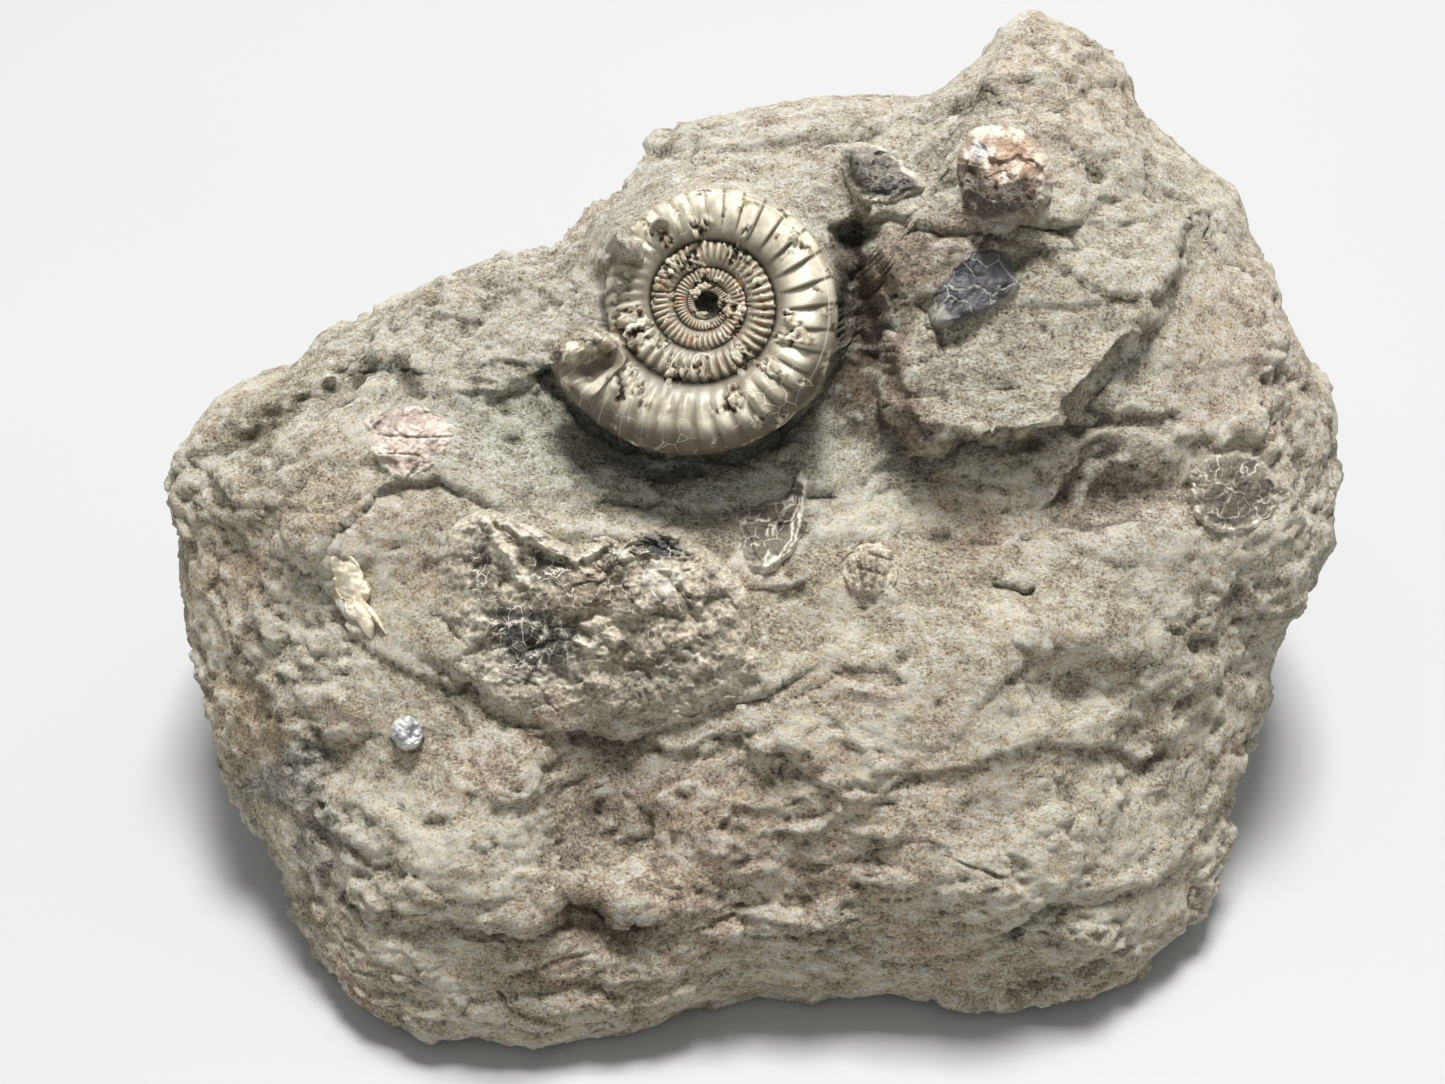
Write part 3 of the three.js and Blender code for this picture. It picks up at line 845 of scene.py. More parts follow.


# Stains of the face, with patches of painted shade in crevices, in pits and under the coil, and one of painted light.
STAINS_AND_PAINTED_SHADE_AND_LIGHT = (
    FacePatch(StoneTone.PALE_GREY, (20, 34), (52, 20), 10, 0.65),
    FacePatch(StoneTone.PALE_GREY, (48, 12), (16, 20), 0, 0.6),
    FacePatch(StoneTone.PALE_GREY, (-28, 14), (26, 8), 25, 0.4),
    FacePatch(StoneTone.GREEN_GREY, (-10, 9), (20, 7), -6, 0.7),
    FacePatch(StoneTone.OLIVE, (28, 24), (18, 12), -20, 0.55),
    FacePatch(StoneTone.BROWN, (-14, -22), (14, 6), 6, 0.3),
    FacePatch(StoneTone.CREAM, (-41, -8), (8, 9), 0, 0.4),
    # Painted light: this cream patch also brightens the upper right, as the lamp's light would.
    FacePatch(StoneTone.CREAM, (40, 30), (15, 16), 0, 0.5),
    FacePatch(StoneTone.CREAM, (49, 4), (6.4, 6.0), 0, 0.5),
    FacePatch(StoneTone.TAN, (6, -30), (22, 9), 8, 0.35),
    FacePatch(StoneTone.TAN, (50, 16), (8, 12), 0, 0.3),
    FacePatch(StoneTone.TAN, (33, 46), (10, 7), 0, 0.25),
    FacePatch(StoneTone.OCHRE, (-53, -3), (5, 4), 0, 0.35),
    FacePatch(StoneTone.OCHRE, (-51, -19), (3, 4), 20, 0.45),
    FacePatch(StoneTone.OCHRE, (-44, 4), (6, 3), 30, 0.25),
    FacePatch(StoneTone.BLUE_GREY, (-46.4, -24.2), (3, 2.4), 25, 0.6),
    FacePatch(StoneTone.BLUE_GREY, (-43.4, -30), (2, 4), 20, 0.5),
    # Painted shade: this dark band is partly the dark crumbled rock of the crevice beside the coil and partly shade
    # painted into it; the next one paints shade in the pocket at the crevice's top.
    FacePatch(StoneTone.DARK, (10.6, 20), (2.8, 9), 4, 0.9),
    FacePatch(StoneTone.DARK, (10.4, 30.4), (2.6, 1.5), 0, 0.8),
    # Painted shadow: the dark band below the coil, where the coil's lower edge shades the stone.
    FacePatch(StoneTone.DARK, (-9, 7.2), (7, 1.3), 6, 0.5),
    FacePatch(StoneTone.OLIVE, (-4.2, 23.6), (2.2, 2.0), 0, 0.8),
    FacePatch(StoneTone.DARK, (29, 27.3), (2.8, 1.0), 25, 0.8),
    FacePatch(StoneTone.CREAM, (34, -34), (15, 8), 10, 0.7),
    FacePatch(StoneTone.CREAM, (48.3, 4.2), (5.6, 5.4), 0, 0.6),
    FacePatch(StoneTone.BROWN, (14, 15), (3, 7), 20, 0.6),
    FacePatch(StoneTone.BROWN, (-16, -38.6), (6, 2.4), -6, 0.6),
    FacePatch(StoneTone.BROWN, (38, 4), (7, 3.4), 5, 0.45),
    FacePatch(StoneTone.BROWN, (18, 28), (8, 3), 30, 0.6),
    # Painted shade in the pit on the left shoulder.
    FacePatch(StoneTone.DARK, (-37, 15.8), (4, 1.4), 0, 0.8),
    FacePatch(StoneTone.OLIVE, (-48, 11), (8, 2.4), 35, 0.6),
    FacePatch(StoneTone.OLIVE, (-24, 28), (16, 4), 18, 0.35),
    FacePatch(StoneTone.CREAM, (-32, -33), (8, 9), 0, 0.5),
    FacePatch(StoneTone.CREAM, (24, -16), (16, 8), 0, 0.4),
)


@dataclass(frozen=True)
class StoneFinish:
    """Dry granular limestone.

    Attributes:
        grain: Grains to a millimetre.
        contrast: How far pits darken and grains lighten.
        roughness: Dullness of the surface.
        bump: Height of the finest grain, in millimetres.
        layers: Number of thin layers that its flakes break along.
        step: Height of one layer, in millimetres.
    """

    grain: float = 3.6
    contrast: float = 3.5
    roughness: float = 0.92
    bump: float = 0.85
    layers: float = 20.0
    step: float = 0.28


@dataclass(frozen=True)
class Break:
    """Plates with broken edges: stone that stands up where noise is over 0.

    Attributes:
        noise: The noise that draws them.
        shift: Shift of that noise.
        size: Size of the plates, in millimetres.
        layers: Layers of noise.
        fade: Strength of each layer over the one before.
        height: How far they stand up, in millimetres.
        edge: Softness of their edges.
        calm: Share of their height in the calm stretches of the stone.
    """

    noise: Noise
    shift: float
    size: float
    layers: int
    fade: float
    height: float
    edge: float
    calm: float

    def lift(self, points: Array, busy: Array) -> Array:
        """Give their height.

        Args:
            points: Places in millimetres.
            busy: 1 where the stone is busy and 0 where it is calm.

        Returns:
            The height at each point.
        """
        wave = self.noise.layered(points + self.shift, self.size, self.layers, self.fade)
        return self.height * smoothstep(wave / self.edge + 0.5) * (self.calm + (1.0 - self.calm) * busy)


BREAKS = (
    Break(SWELL_NOISE, 29.0, 21.0, 4, 0.55, height=0.7, edge=0.05, calm=1.0),
    Break(FLAKE_NOISE, 0.0, 11.0, 4, 0.5, height=0.6, edge=0.07, calm=0.45),
    Break(FLAKE_NOISE, 67.0, 4.6, 3, 0.5, height=0.42, edge=0.1, calm=0.15),
    Break(GRIT_NOISE, 11.0, 2.6, 3, 0.6, height=0.2, edge=0.16, calm=0.4),
)


@dataclass
class MatrixBlock:
    """The limestone block: one natural piece that carries every fossil.

    Attributes:
        name: Name of the piece.
        rings: Rings of vertices from the middle of the face to the rim.
        dome: How far the face falls from its middle to an even rim.
        face_squareness: Power of the face's dome.
        depth: From the rim to the middle of the back.
        back_bulge: How much further back the middle is.
        back_squareness: Power of the back's dome.
        back_rise: How far the middle of the back sits above the middle of the face.
        bedding: How the stone's layers are drawn out along x, y and z.
        level: The texture as a whole is let down by this.
        back_texture: Strength of the texture on the back, over the front's.
        foot: Below this height the stone is pressed flat, without folding: h e^(z/h - 1).
        finish: The stone's finish.
    """

    name: str = "limestone_block"
    rings: int = 160
    dome: float = 14.0
    face_squareness: float = 4.0
    depth: float = 45.0
    back_bulge: float = 14.0
    back_squareness: float = 2.7
    back_rise: float = 3.0
    bedding: tuple[float, float, float] = (0.55, 1.0, 1.3)
    level: float = 0.85
    back_texture: float = 1.35
    foot: float = 1.2
    finish: StoneFinish = field(default_factory=StoneFinish)

    def __post_init__(self) -> None:
        """Make the rim's two curves."""
        self.rim_radius = RoundCurve([(math.atan2(b, a), math.hypot(a, b)) for a, b in RIM])
        self.rim_depth = RoundCurve([(math.radians(angle), -depth) for angle, depth in RIM_DEPTH])

    def front_plain(self, share: Array, angle: Array) -> Array:
        """Height of the plain dome: it falls by a fourth-power curve to the rim's own depth."""
        dome = self.dome * (np.sqrt(np.maximum(0.0, 1.0 - share**self.face_squareness)) - 1.0)
        return dome + (self.rim_depth(angle) + self.dome) * share**4

    def relief(self, a: Array, b: Array) -> Array:
        """Sum the swells, ledges, cracks and pits at (a, b), with their lines made uneven by noise.

        Args:
            a: To the right.
            b: Up the face.

        Returns:
            The height at each place.
        """
        flat = np.stack([a, b, np.zeros_like(a)], axis=-1)
        wander_a = a + 0.9 * FLAKE_NOISE.layered(flat, 5.0, 3)
        wander_b = b + 0.9 * FLAKE_NOISE.layered(flat + 57.0, 5.0, 3)
        height = sum(swell.lift(a, b) for swell in FRONT_SWELLS.values())
        for feature in (*LEDGES.values(), *CRACKS.values(), *PITS.values()):
            height = height + feature.lift(wander_a, wander_b)
        return height

    def front(self, share: Array, angle: Array) -> Array:
        """Find the front's height, with the ammonite's bed.

        Args:
            share: How far from the middle to the rim.
            angle: Angle round the middle.

        Returns:
            Its height n.
        """
        reach = self.rim_radius(angle) * share
        a, b = reach * np.cos(angle), reach * np.sin(angle)
        broad = self.relief(a, b) + self.lumps(a, b, 0.0)
        height = self.front_plain(share, angle) + (1.0 - share**8) * broad
        gap = np.hypot(a - COIL.at[0], b - COIL.at[1])
        held = smoothstep((COIL.bed_radius - gap) / COIL.bed_slope)
        return blend(height, COIL.plane(a, b) - COIL.bed, held) - self.groove(a, b)

    @staticmethod
    def groove(a: Array, b: Array) -> Array:
        """Find the depth of the moat along the coil: deepest below its mouth, fading half a turn back.

        Args:
            a: To the right.
            b: Up the face.

        Returns:
            The depth at each place.
        """
        da, db = a - COIL.at[0], b - COIL.at[1]
        back = np.mod(np.arctan2(db, da) - COIL.mouth_angle, TURN) / TURN
        gap = np.hypot(da, db) - COIL.outer(back) - 0.5
        before = smoothstep((1.0 - back) / 0.03)
        return 3.2 * np.exp(-((gap / 1.3) ** 2)) * (1.0 - 0.75 * smoothstep((back - 0.3) / 0.3)) * before

    def front_at(self, a: Array, b: Array) -> Array:
        """Height n of the front at (a, b)."""
        angle = np.arctan2(b, a)
        return self.front(np.minimum(1.0, np.hypot(a, b) / self.rim_radius(angle)), angle)

    @staticmethod
    def lumps(a: Array, b: Array, layer: float) -> Array:
        """Height of the stone's broad lumps at (a, b), from noise on a plane of its own for each side."""
        flat = np.stack([a, b, np.full_like(a, layer)], axis=-1)
        return 1.4 * SWELL_NOISE.layered(flat, 17.0, 2, 0.5)

    def back(self, share: Array, angle: Array) -> Array:
        """Find the back's height: a dome of its own behind the rim, with swells.

        Args:
            share: How far from the middle to the rim.
            angle: Angle round the middle.

        Returns:
            Its height n.
        """
        reach = self.rim_radius(angle) * share
        a, b = reach * np.cos(angle), reach * np.sin(angle)
        swells = sum(swell.lift(a, b) for swell in BACK_SWELLS.values()) + 1.4 * self.lumps(a, b, 50.0)
        fill = 1.0 - share**2
        dome = np.sqrt(np.maximum(0.0, 1.0 - share**self.back_squareness))
        return self.rim_depth(angle) * share**2 - (self.back_bulge + swells) * fill - self.depth * dome

    @staticmethod
    def spread(part: Array) -> Array:
        """Share of the way to the rim for a ring: even in the middle and closer at the rim, 1.25 t - 0.25 t^5."""
        return 1.25 * part - 0.25 * part**5

    def roughness(self, points: Array) -> Array:
        """Find the height of the stone's own texture: knobs, plates with broken edges, flakes, grit, slits and holes.

        Args:
            points: Places in millimetres.

        Returns:
            Height along the surface's normal, in millimetres.
        """
        stretched = points * np.array(self.bedding)
        busy = smoothstep(0.45 + 1.3 * SWELL_NOISE.smooth(points + 7.0, 15.0))
        knobs = (0.4 + 0.5 * busy) * KNOB_NOISE.layered(points, 9.0, 3)
        plates = sum(kind.lift(stretched, busy) for kind in BREAKS)
        flakes = 0.13 * FLAKE_NOISE.ridged(stretched, 2.4, 2, 0.6) * (0.3 + 0.7 * busy)
        grit = 0.15 * GRIT_NOISE.layered(points, 1.1, 2, 0.7)
        line = np.abs(KNOB_NOISE.layered(stretched + 131.0, 9.0, 2))
        open_here = smoothstep(TINT_NOISE.smooth(points + 17.0, 11.0) * 3.0)
        slits = 0.55 * smoothstep(1.0 - line / 0.045) * open_here
        holes = 0.4 * smoothstep((0.14 - KNOB_NOISE.nearest(points, 5.0)) / 0.09)
        return knobs + plates + flakes + grit - slits - holes - self.level

    def tint(self, a: Array, b: Array, points: Array, front: Array) -> Array:
        """Work out the stone's colour: a mottled cream, with the stains on the front laid over it, and the patches that
        paint shade in crevices, in pits and under the coil, and light on the upper right.

        Args:
            a: To the right.
            b: Up the face.
            points: The same places in space, in millimetres.
            front: 1 on the front and 0 on the back.

        Returns:
            A linear colour for each place.
        """
        mottle = smoothstep(0.5 + 0.8 * TINT_NOISE.layered(points, 9.0, 4, 0.65))[:, None]
        colour = blend(StoneTone.GREY.colour, StoneTone.CREAM.colour, mottle)
        warm = smoothstep(TINT_NOISE.layered(points + 31.0, 8.0, 4, 0.6) * 1.3 - 0.1)[:, None]
        colour = blend(colour, StoneTone.TAN.colour, 0.7 * warm)
        cool = smoothstep(TINT_NOISE.layered(points + 83.0, 5.0, 3, 0.6) * 1.6 - 0.5)[:, None]
        colour = blend(colour, StoneTone.OLIVE.colour, 0.4 * cool)
        flat = np.stack([a, b, np.zeros_like(a)], axis=-1)
        torn_a = a + 2.2 * TINT_NOISE.layered(flat, 6.0, 3)
        torn_b = b + 2.2 * TINT_NOISE.layered(flat + 71.0, 6.0, 3)
        # Lay on the stains and the patches of painted shade and painted light.
        for face_patch in STAINS_AND_PAINTED_SHADE_AND_LIGHT:
            patch = Swell(face_patch.at, face_patch.size, face_patch.turn, 1.0).share(torn_a, torn_b)
            strength = face_patch.strength * smoothstep(patch * 1.6) * front
            colour = blend(colour, face_patch.tone.colour, strength[:, None])
        return colour

    def build(self) -> bpy.types.Object:
        """Make the block's mesh: the plain form, pushed along its normals by the stone's texture.

        Returns:
            The block.
        """
        grid = LensGrid(self.rings)
        ring, angle = grid.front.ring_and_angle()
        share = self.spread(ring / self.rings)
        reach = self.rim_radius(angle) * share
        a, b = reach * np.cos(angle), reach * np.sin(angle)
        front_points = FACE.place(a, b, self.front(share, angle))

        back_ring, back_angle = grid.back.ring_and_angle()
        back_share = self.spread(back_ring / grid.back.rings * (1.0 - 0.5 / grid.back.rings))
        back_reach = self.rim_radius(back_angle) * back_share
        back_a = back_reach * np.cos(back_angle)
        back_b = back_reach * np.sin(back_angle) + self.back_rise * (1.0 - back_share**2)
        back_points = FACE.place(back_a, back_b, self.back(back_share, back_angle))

        points = np.vstack([front_points, back_points])
        triangles = grid.triangles()
        a, b = np.concatenate([a, back_a]), np.concatenate([b, back_b])
        on_front = np.concatenate([np.ones(len(front_points)), np.zeros(len(back_points))])

        texture = self.roughness(points) * blend(self.back_texture, 1.0, on_front)
        calm = np.zeros(len(points))
        sunk = np.zeros(len(points))
        for piece in SET_PIECES:
            inside = np.where(on_front > 0.5, inside_distance(a, b, piece.corners), -9.0)
            bed = smoothstep((inside - 0.3) / 0.9)
            calm = np.maximum(calm, bed)
            sunk = np.maximum(sunk, piece.depth * bed)
        coil_gap = np.hypot(a - COIL.at[0], b - COIL.at[1])
        calm = np.maximum(calm, 0.5 * on_front * smoothstep((COIL.bed_radius - coil_gap) / 2.0))
        push = texture * (1.0 - calm) - sunk
        points = points + vertex_normals(points, triangles) * push[:, None]
        torn = 1.0 + 0.5 * GRIT_NOISE.layered(points, 2.0, 2)
        over = sum(lump.lift(a, b) for lump in OVER_COIL.values()) * on_front * torn
        points = points + FACE.out * over[:, None]

        # hollow: how far a point lies below its near neighbours; the material paints shade there, and crust with
        # painted highlight on the raised points.
        hollow = evened(push, triangles, 8) - push
        height = (points - FACE.centre) @ FACE.out
        # How far a point lies below the broad surface round it: the material paints shade there.
        recess_shade = (evened(height, triangles, 60) - height) * on_front
        tint = self.tint(a, b, points, on_front)
        pressed = self.foot * np.exp(np.minimum(points[:, 2] - self.foot, 0.0) / self.foot)
        points[:, 2] = np.where(points[:, 2] < self.foot, pressed, points[:, 2])
        marks = {
            "tint": tint,
            "hollow": np.clip(0.5 + hollow / 0.8, 0.0, 1.0),
            "recess_shade": smoothstep(recess_shade / 1.5 - 0.1),
        }
        piece = make_piece(self.name, points, triangles, marks)
        piece.data.materials.append(stone_material("limestone", self.finish))
        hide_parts("matrix_block")
        return piece


# ---------------------------------------------------------------- the ammonite


@dataclass(frozen=True)
class ShellFinish:
    """Fine grey-gold fossil shell with crumbs of matrix in its grooves."""

    roughness: float = 0.42
    bump: float = 0.3


WORN_SPOTS = (
    Swell((-1.4, 12.6), (1.7, 1.1), 40, 1.0), Swell((4.0, 11.2), (1.3, 1.1), 0, 0.9),
    Swell((-12.2, 14.3), (1.2, 1.6), 30, 1.0),
    Swell((4.8, 29.4), (1.4, 1.0), -30, 0.9), Swell((5.8, 18.8), (1.7, 1.2), 0, 1.0),
    Swell((-12.4, 21.0), (2.4, 2.6), 0, 0.95), Swell((-8.4, 30.4), (1.8, 1.4), 20, 0.7),
    Swell((2.4, 16.8), (1.6, 1.4), 0, 0.7),
    Swell((-16.4, 18.8), (2.2, 1.2), 20, 0.8), Swell((8.2, 26.2), (1.2, 0.6), 10, 0.6),
)
MOUTH_RING = Swell((-15.3, 16.5), (2.7, 2.3), 20, 1.0)


@dataclass
class AmmoniteShell:
    """The coiled shell: one tube that widens as it winds out, with a rib every few degrees.

    Attributes:
        name: Name of the piece.
        rib_height: Height of a rib as a share of the coil's radius there.
        thickness: Width of the whorl over the radius.
        overlap: How far each whorl lies over the one inside it, as a share of the radius.
        tiles_at: Turns back from the mouth to the middle of the wide tile-like ribs.
        tiles_spread: How far from there they fade.
        rows: Sections along the spiral.
        sides: Points round the whorl.
        finish: The shell's finish.
    """

    name: str = "coiled_shell"
    rib_height: float = 0.05
    thickness: float = 0.42
    overlap: float = 0.1
    tiles_at: float = 0.5
    tiles_spread: float = 0.17
    rows: int = 1560
    sides: int = 56
    finish: ShellFinish = field(default_factory=ShellFinish)

    def tiles(self, back: Array) -> Array:
        """Share of tile-like ribs, a number of turns back from the mouth."""
        return np.exp(-(((back - self.tiles_at) / self.tiles_spread) ** 2))

    def density(self, back: Array) -> Array:
        """Ribs to a turn: close together in the early coils and on the last one near the mouth, wide on its right."""
        return 40.0 - 11.0 * self.tiles(back) + 6.0 * smoothstep((back - 0.9) / 0.5)

    @staticmethod
    def rib_shape(phase: Array, tiled: Array) -> Array:
        """Height across a rib, from a rounded fold to a tile where tiled is 1.

        The fold is 0.5 - 0.5 cos(turn * p^1.25); the tile rises with p and drops steeply towards the mouth.

        Args:
            phase: Ribs counted from the mouth.
            tiled: Share of the tile's shape.

        Returns:
            0 to about 1.
        """
        part = np.mod(phase, 1.0)
        fold = 0.5 - 0.5 * np.cos(TURN * part**1.25)
        drop = smoothstep((part - 0.86) / 0.14)
        tile = (0.15 + part) * (1.0 - drop) + 0.15 * drop
        return blend(fold, tile, tiled)

    @staticmethod
    def rib_gap_shade(phase: Array, tiled: Array) -> Array:
        """Find the painted shade between ribs: at the foot of a fold, or in the narrow gap under the edge of a tile.

        Args:
            phase: Ribs counted from the mouth.
            tiled: Share of the tile's shape.

        Returns:
            0 to 1.
        """
        part = np.mod(phase + 0.03, 1.0)
        foot = 0.5 + 0.5 * np.cos(TURN * np.mod(phase, 1.0) ** 1.25)
        return blend(foot, np.exp(-((np.minimum(part, 1.0 - part) / 0.09) ** 2)), tiled)

    def build(self) -> bpy.types.Object:
        """Make the shell: a rounded section carried back from the mouth along a spiral that shrinks evenly.

        Returns:
            The shell.
        """
        part = np.linspace(0.0, 1.0, self.rows)
        steps = COIL.turns * (0.7 * part + 0.3 * part**2)
        rib_counts = np.diff(steps) * self.density(0.5 * (steps[1:] + steps[:-1]))
        phases = -np.concatenate([[0.0], np.cumsum(rib_counts)])
        back = steps[:, None]
        around = (np.arange(self.sides) / self.sides * TURN)[None, :]
        outer = COIL.outer(back)
        inner = outer / COIL.growth - self.overlap * outer
        outward = 0.5 + 0.5 * np.cos(around)
        tiled = self.tiles(back)
        early = smoothstep((back - 0.85) / 0.3)
        soft = 0.62 + 0.75 * tiled + 0.5 * early
        strength = smoothstep(outward * 1.7 - 0.1) * (1.0 - 0.9 * smoothstep((outward - 0.68) / 0.24)) * soft
        phase = phases[:, None] + 0.5 * outward**2
        ribs = self.rib_shape(phase, tiled) * strength
        angle = COIL.mouth_angle + back * TURN
        shy = 0.3 * self.rib_height * outer
        half_height = (outer - inner) / 2.0 - shy
        half_width = self.thickness * outer / 2.0 - shy
        middle = (outer + inner) / 2.0
        lift = self.rib_height * outer * ribs
        bulge = np.abs(np.sin(around)) ** 0.9 * np.sign(np.sin(around))
        r = middle + half_height * np.cos(around) + 0.5 * lift * np.cos(around)
        flare = 1.0 + 0.10 * np.exp(-((back / 0.02) ** 2))
        over = (half_width * flare + lift) * bulge
        flat = COIL.point(r, angle + 0.0 * around, over).reshape(-1, 3)
        a = (COIL.at[0] + r * np.cos(angle)).ravel()
        b = (COIL.at[1] + r * np.sin(angle)).ravel()

        def ended(values: Array, tip_value: float, end_value: float) -> Array:
            """Spread values over the whole tube and add those of its two end points."""
            return np.append(np.broadcast_to(values, r.shape).ravel(), [tip_value, end_value])

        triangles = self.tube_triangles()
        tip = np.mean(flat[: self.sides], axis=0) + (flat[0] - flat[self.sides]) * 2.0
        end = np.mean(flat[-self.sides :], axis=0)
        points = np.vstack([flat, tip, end])
        spots = np.max([spot.share(a, b) for spot in WORN_SPOTS], axis=0)
        worn = np.clip(np.append(spots, [0.5, 0.0]), 0.0, 1.0)
        inside = smoothstep((10.0 - ended(outer, COIL.radius, 2.0)) / 3.0)
        wear = self.wear(points, worn + 0.48 * inside)
        top = ended(bulge > 0.0, 1.0, 0.0)
        ragged = 0.5 * KNOB_NOISE.layered(flat, 2.4, 2)
        socket = np.append(MOUTH_RING.share(a + ragged, b - ragged), [0.0, 0.0]) * top
        ring = np.exp(-(((socket - 0.36) / 0.14) ** 2)) * 0.9 - smoothstep((socket - 0.5) / 0.3)
        rim = smoothstep((ended(outward, 0.5, 0.0) - 0.75) / 0.15)
        push = wear["push"] * (1.0 - 0.35 * inside) * (1.0 - 0.8 * rim) + ring * (socket > 0.02)
        points = points + vertex_normals(points, triangles) * push[:, None]
        # Painted shade between the ribs.
        valley = self.rib_gap_shade(phase, tiled) * smoothstep(outward * 2.2) * (0.5 + 0.5 * soft)
        # crest drives a painted highlight along the rib crests.
        crest = self.rib_shape(phase, 0.0) * smoothstep(outward * 3.0 - 0.8) * (1.0 - tiled)
        # Painted shade on the downward-facing lower flank of the whorls.
        under = smoothstep((outward - 0.6) / 0.3) * smoothstep(0.35 - np.sin(angle))
        line = smoothstep((back - 0.3) / 0.08) * smoothstep((0.78 - back) / 0.08)
        marks = {
            "outward": ended(outward, 0.5, 0.0),
            "valley": ended(valley, 0.5, 1.0),
            "crest": ended(crest, 0.0, 0.0),
            "crumb": wear["crumb"],
            "inner": inside,
            "under": ended(under, 0.6, 1.0),
            "line": ended(line, 0.0, 0.0),
            # pit holds the shell's pits and also painted shade inside the mouth's ring.
            "pit": np.clip(wear["pit"] + 0.6 * smoothstep((socket - 0.5) / 0.15), 0.0, 1.0),
        }
        piece = make_piece(self.name, points, triangles, marks)
        piece.data.materials.append(shell_material("ammonite_shell_finish", self.finish))
        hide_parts("ammonite_shell")
        return piece

    def tube_triangles(self) -> Array:
        """Join the sections one to the next, and close both ends on a middle point.

        Returns:
            Three vertex numbers per row.
        """
        rows = self.rows
        i, j = np.meshgrid(np.arange(rows - 1), np.arange(self.sides), indexing="ij")
        after = (j + 1) % self.sides
        p, q = i * self.sides + j, i * self.sides + after
        s, r = p + self.sides, q + self.sides
        wall = np.vstack([np.stack([p, s, q], axis=-1).reshape(-1, 3), np.stack([q, s, r], axis=-1).reshape(-1, 3)])
        side = np.arange(self.sides)
        beyond = (side + 1) % self.sides
        last = (rows - 1) * self.sides
        tip, end = rows * self.sides, rows * self.sides + 1
        first_cap = np.stack([np.full_like(side, tip), side, beyond], axis=1)
        last_cap = np.stack([np.full_like(side, end), last + beyond, last + side], axis=1)
        return np.vstack([wall, first_cap, last_cap])

    @staticmethod
    def wear(points: Array, worn: Array) -> dict[str, Array]:
        """Work out chips and crumbs: where noise is high, matrix still sticks to the shell.

        Args:
            points: Places in millimetres.
            worn: 1 where the shell is badly worn.

        Returns:
            The push along the normal, the share of crumbs and the share of pits, by name.
        """
        cover = GRIT_NOISE.layered(points, 2.4, 3, 0.65) + 0.95 * worn
        crumb = smoothstep((cover - 0.5) / 0.16)
        grain = KNOB_NOISE.layered(points + 13.0, 1.1, 3, 0.65)
        pit = smoothstep((-grain - 0.14) / 0.2) * smoothstep((cover - 0.42) / 0.2)
        push = crumb * (0.24 + 0.38 * grain) + 0.05 * KNOB_NOISE.layered(points, 1.8, 2) - 0.28 * pit
        return {"push": push, "crumb": crumb, "pit": pit}


# ---------------------------------------------------------------- smaller fossils and crystals


@dataclass(frozen=True)
class Dab:
    """A soft patch of colour on a smaller piece."""

    colour: tuple[int, int, int]
    at: Point
    size: Point
    turn: float = 0.0
    strength: float = 1.0


